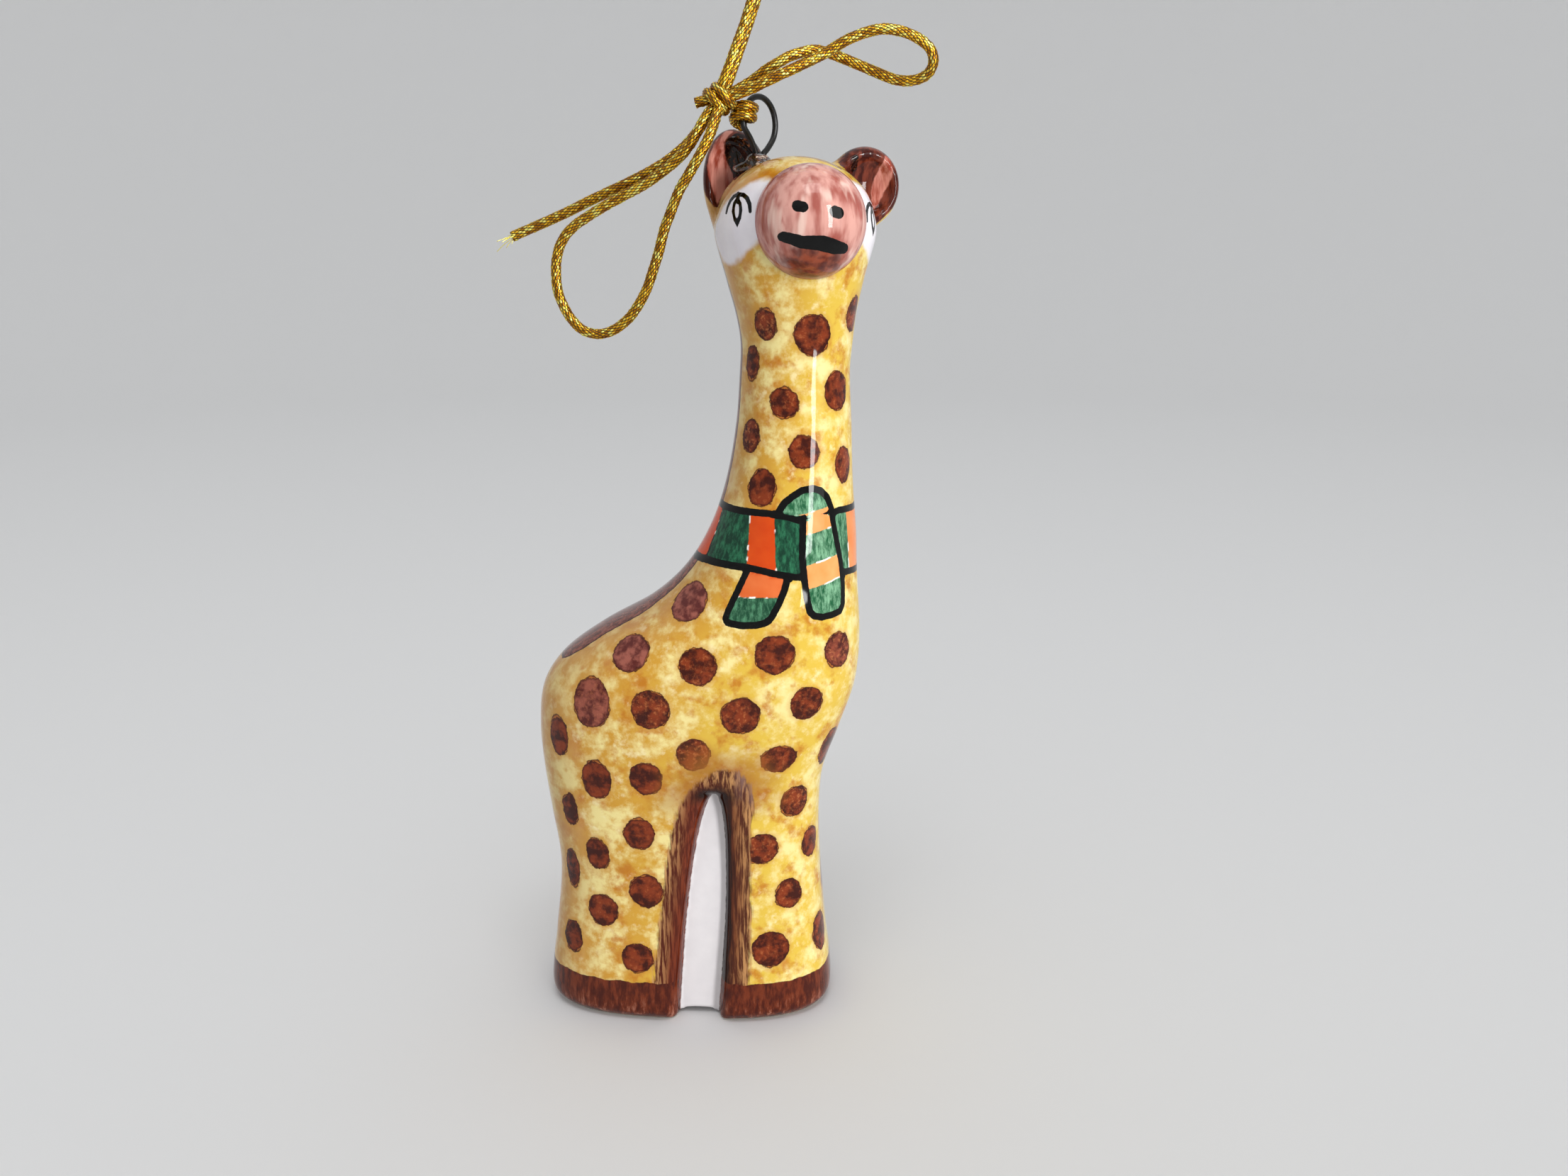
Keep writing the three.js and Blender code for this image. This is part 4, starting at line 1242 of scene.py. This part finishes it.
def build_wire():
    round_part = [ring_point(a) for a in range(RING_START, RING_END - 1, -RING_STEP)]
    near, far = ([on_ring(*p) for p in leg] for leg in (NEAR_LEG, FAR_LEG))
    route = smooth_route(near + round_part + far, WIRE_STEP)
    wire = new_piece("wire_ring", *tube_mesh(route, np.full((len(route), WIRE_TURNS), WIRE / 2)))
    paint = Paint("black_wire")
    paint.colour(paint.blend(paint.noise(0.7, detail=4, roughness=0.7), 0.5, 0.8, "#0C0C0D", "#26282A"))
    paint.value("Metallic", 0.35)
    paint.value("Roughness", paint.weighted(paint.noise(0.5, detail=3, shift=9), 0.22, 0.22))
    paint.value("Specular IOR Level", 0.6)
    paint.bump(paint.noise(0.35, detail=3, place=paint.stretched(1, 1, 0.4)), 0.5, 0.02)
    return finish_piece(wire, "ceramic", "black_wire", "wire_loop", material=paint.material)


def lumps(p):
    """Slow rounded swellings, from about -1 to 1."""
    total = np.zeros(len(p))
    for k, (a, b, c, phase) in enumerate(WAVES):
        total += np.sin(p @ np.array([a, b, c]) + phase) / (1 + WAVE_FADE * k)
    return total / WAVE_SUM


def build_blob():
    """The blob of glaze that holds the ring, lumpy and very shiny, dark brown with painted glints."""
    turns, rings = BLOB["turns"], BLOB["rings"] - 1
    ball = np.vstack([ball_points(rings, turns, math.pi * rings / BLOB["rings"]), (0, 0, -1)])
    shape = ball * np.array(BLOB["radii"])
    shape *= (1 + BLOB["lump"] * lumps(ball * BLOB["lump_scale"]))[:, None]
    last, start = len(ball) - 1, 1 + (rings - 1) * turns
    faces = first_fan(turns) + ring_quads(1, rings, turns)
    faces += [(last, start + (k + 1) % turns, start + k) for k in range(turns)]
    blob = new_piece("glaze_blob", shape + np.array(BLOB["centre"]), faces)
    paint = Paint("bead_glaze")
    cloud = paint.noise(0.9, detail=4, roughness=0.6)
    colour = paint.blend(cloud, 0.46, 0.6, "#170806", "#5A2E18")
    # Painted highlights: pale glints scattered over the dark glaze.
    colour = paint.blend(paint.noise(0.8, detail=3, shift=5), 0.6, 0.68, colour, "#D8C0A8")
    paint.colour(colour)
    paint.value("Roughness", 0.09)
    paint.value("Coat Weight", 1.0)
    paint.value("Coat Roughness", 0.02)
    paint.bump(paint.noise(0.6, detail=2, shift=3), 0.7, 0.12)
    return finish_piece(blob, "ceramic", "bead_glaze", "setting_bead", material=paint.material)


# ---------------------------------------------------------------- the cord

CORD = 1.3
CORD_TURNS = 40           # points round the braid
CORD_STEP = 0.14
BRAID = {"strands": 10, "pitch": 0.86, "base": 0.82, "relief": 0.2, "roundness": 0.6,
         "least_lift": 0.75, "more_lift": 0.5}
KNOT_CENTRE = np.array([2.15, -2.75, 124.15])
KNOT_AXIS = np.array([0.82, 0.05, 0.57])
# Each is wound round an axis, beginning on the side that start points to.
KNOT_TURN = {"radius": 1.42, "turns": 2.2, "pitch": 1.15, "start": (0.2, 0.9, -0.4)}
WRAP = {"radius": 1.12, "turns": 2.1, "pitch": 1.15, "start": (0.3, 1.0, 0.1)}
WRAP_ANGLE = 163          # degrees round the wire ring
HELIX_POINTS = 60

# The whole cord: cut end, knot, hanging loop, knot, right bow, knot, left bow, knot, frayed tail.
CORD_ROUTE = [
    (-0.9, -2.7, 123.7), (0.25, -2.7, 124.0), (1.3, -2.5, 124.2), (2.1, -2.9, 124.9),
    (2.6, -3.5, 125.9), (3.4, -3.4, 127.8), (4.3, -3.0, 130.2), (5.5, -2.6, 133.4), (6.5, -2.3, 136.8),
    (6.9, -2.1, 140.6), (6.6, -2.0, 144.0), (5.9, -1.9, 147.4), (5.9, -1.8, 150.0), (7.3, -1.7, 152.2),
    (9.1, -1.6, 152.3), (10.5, -1.5, 150.2), (10.4, -1.4, 147.4), (9.2, -1.3, 144.0), (8.2, -1.2, 140.6),
    (6.9, -0.9, 136.8), (5.7, -0.8, 133.4), (4.5, -0.8, 130.2), (3.6, -1.0, 127.8), (2.9, -1.4, 125.9),
    (2.4, -1.9, 124.8), (2.6, -2.0, 124.4), (3.4, -1.8, 124.9),
    (4.7, -1.6, 125.6), (6.1, -1.6, 126.4), (7.5, -1.7, 127.4), (9.1, -1.7, 128.3), (10.6, -1.5, 129.1),
    (12.1, -1.1, 129.6), (13.6, -0.7, 129.9), (15.1, -0.3, 129.7), (16.7, 0.0, 129.2), (19.1, 0.3, 128.3),
    (21.4, 0.4, 127.4), (23.7, 0.4, 126.6), (25.8, 0.2, 126.5), (27.5, -0.2, 127.2), (28.1, -0.7, 128.5),
    (27.7, -1.1, 129.8), (26.3, -1.5, 130.9), (24.3, -1.8, 131.7), (22.0, -2.0, 132.0), (19.8, -2.1, 131.6),
    (17.6, -2.2, 130.8), (16.0, -2.3, 129.9), (14.4, -2.5, 129.0), (12.9, -2.8, 128.3), (11.4, -3.1, 127.6),
    (9.4, -3.4, 126.7), (7.8, -3.5, 126.0), (6.3, -3.5, 125.3), (4.6, -3.3, 124.7),
    (3.0, -3.1, 124.2), (1.7, -3.2, 123.4),
    (0.7, -3.6, 122.3), (-0.4, -4.1, 120.5), (-1.6, -4.3, 118.6), (-2.9, -4.3, 117.2), (-4.6, -4.2, 115.9),
    (-7.2, -4.0, 114.2), (-9.8, -3.9, 112.9), (-12.4, -3.8, 111.6), (-14.5, -3.7, 110.4),
    (-16.5, -3.6, 109.1), (-17.9, -3.6, 107.5), (-18.7, -3.6, 105.5), (-18.9, -3.6, 103.5),
    (-18.8, -3.6, 101.5), (-18.2, -3.7, 99.7), (-17.1, -3.8, 97.8), (-15.7, -3.9, 96.5),
    (-13.9, -4.0, 96.0), (-12.0, -4.1, 96.4), (-10.0, -4.2, 97.7),
    (-8.4, -4.4, 99.6), (-7.2, -4.5, 101.7), (-6.3, -4.7, 104.0), (-5.5, -4.9, 106.2), (-4.8, -5.1, 108.6),
    (-3.8, -5.3, 111.0), (-2.8, -5.5, 113.2), (-1.4, -5.7, 115.4), (0.1, -5.7, 117.8), (1.2, -5.3, 120.0),
    (1.9, -4.4, 122.2), (2.2, -3.4, 123.4), (1.7, -2.5, 123.7), (1.1, -2.0, 123.1),
    (0.5, -1.9, 122.3), (-0.6, -2.2, 120.7), (-2.2, -2.3, 118.9), (-4.2, -2.5, 117.3), (-6.0, -2.5, 116.2),
    (-8.4, -2.4, 115.0), (-10.9, -2.3, 113.9), (-14.4, -2.1, 112.4), (-17.9, -2.0, 110.8),
    (-21.5, -2.1, 109.3), (-24.6, -2.4, 108.0),
]
FRAY = {"fibres": 9, "length": 2.6, "spread": 0.55, "radius": 0.045, "sides": 5, "step": 0.2,
        "height": 0.8, "shade": 0.9, "shortest": 0.35, "rooted": 0.5, "scatter": 0.22, "bend": 0.35}


def braided(name, route, body, *nodes, material):
    """A tube whose surface stands up in the diamonds of a flat-yarn braid."""
    turns = CORD_TURNS
    along = path_length(route)
    a = np.arange(turns) * 2 * math.pi * BRAID["strands"] / turns
    b = along[:, None] * 2 * math.pi / BRAID["pitch"]
    one, two = (a + b) / 2, (a - b) / 2
    height = np.abs(np.cos(one) * np.cos(two))
    left, right = np.round(one / math.pi).astype(int), np.round(two / math.pi).astype(int)
    row, column = left - right, (left + right) % (2 * BRAID["strands"])
    # A fixed scatter of tones, one for each diamond.
    shade = (np.sin(row * 12.9898 + column * 78.233) * 43758.5453) % 1.0
    lift = height ** BRAID["roundness"] * (BRAID["least_lift"] + BRAID["more_lift"] * shade)
    radii = CORD / 2 * (BRAID["base"] + BRAID["relief"] * lift)
    piece = new_piece(name, *tube_mesh(route, radii))
    add_attribute(piece, "height", height.ravel())
    add_attribute(piece, "shade", shade.ravel())
    return finish_piece(piece, body, "gold_braid", *nodes, material=material)


def helix(centre, axis, winding):
    """A route that winds round an axis through the centre."""
    axis = unit(axis)
    start = np.array(winding["start"])
    first = unit(start - axis * (start @ axis))
    second = np.cross(axis, first)
    t = np.linspace(0, 1, HELIX_POINTS)[:, None]
    a = 2 * math.pi * winding["turns"] * t
    around = winding["radius"] * (first * np.cos(a) + second * np.sin(a))
    return centre + around + axis * (t - 0.5) * winding["pitch"] * winding["turns"]


def gold_braid():
    """Lurex braid: each diamond a different amber at random as painted reflection, with painted glints among
    them and painted shade in the gaps between them.
    """
    paint = Paint("gold_braid")
    height = paint.attribute("height")
    shade = paint.attribute("shade")
    glitter = paint.noise(0.16, detail=2, roughness=0.7)
    # Painted reflection: the diamonds range from dark amber to bright gold at random.
    amber_and_painted_reflection = paint.blend(shade, 0.1, 0.8, "#AE700E", "#FFC62C")
    # Painted highlights: bright glints on some diamonds.
    painted_glint = paint.step(paint.weighted(glitter, 0.5, shade), 0.96, 1.1)
    amber_and_painted_reflection = paint.mix(painted_glint, amber_and_painted_reflection, "#FFF07A")
    # Painted shade in the gaps between the diamonds.
    painted_gap_shade = paint.fade(height, 0.16, 0.55)
    paint.colour(paint.mix(painted_gap_shade, amber_and_painted_reflection, "#1E0C02"))
    paint.value("Metallic", paint.weighted(paint.step(height, 0.1, 0.4), 0.8, 0.1))
    paint.value("Roughness", paint.weighted(glitter, 0.3, 0.14))
    paint.bump(paint.noise(0.22, detail=2, shift=13), 0.9, 0.07)
    return paint.material


def build_cord():
    gold = gold_braid()
    route = smooth_route(CORD_ROUTE, CORD_STEP)
    strands = ("cord_hanging_loop", "cord_bow_right", "cord_bow_left", "cord_tail", "cord_stub")
    cord = braided("cord_braid", route, "cord", *strands, material=gold)
    turn = helix(KNOT_CENTRE, KNOT_AXIS, KNOT_TURN)
    knot = braided("knot_turns", smooth_route(turn, CORD_STEP), "cord", "cord_knot", material=gold)
    along = np.array(ring_point(WRAP_ANGLE - 1)) - np.array(ring_point(WRAP_ANGLE + 1))
    turn = helix(np.array(ring_point(WRAP_ANGLE)), along, WRAP)
    braided("hitch_turns", smooth_route(turn, CORD_STEP), "hitch", "cord_wrap", material=gold)
    fray = build_fray(route, gold)


def build_fray(route, gold):
    """Loose fibres at the tail's cut end."""
    end = route[-1]
    ahead = unit(end - route[-8])
    points, faces = [], []
    for _ in range(FRAY["fibres"]):
        sway = rng.normal(0, FRAY["spread"], 3)
        length = FRAY["length"] * rng.uniform(FRAY["shortest"], 1.0)
        start = end - ahead * FRAY["rooted"] + rng.normal(0, FRAY["scatter"], 3)
        bend = start + ahead * length / 2 + sway * FRAY["bend"]
        tip = start + ahead * length + sway
        fibre = smooth_route([start, bend, tip], FRAY["step"])
        around = tube_mesh(fibre, np.full((len(fibre), FRAY["sides"]), FRAY["radius"]))
        faces += [[corner + len(points) for corner in face] for face in around[1]]
        points += around[0].tolist()
    fray = new_piece("frayed_end", points, faces)
    for name in ("height", "shade"):
        add_attribute(fray, name, np.full(len(points), FRAY[name]))
    return finish_piece(fray, "cord", "gold_braid", material=gold)


# ---------------------------------------------------------------- the scene

add_camera()
build_cord()
build_ceramic()
build_muzzle()
build_wire()
build_blob()
add_lights()
add_surroundings()
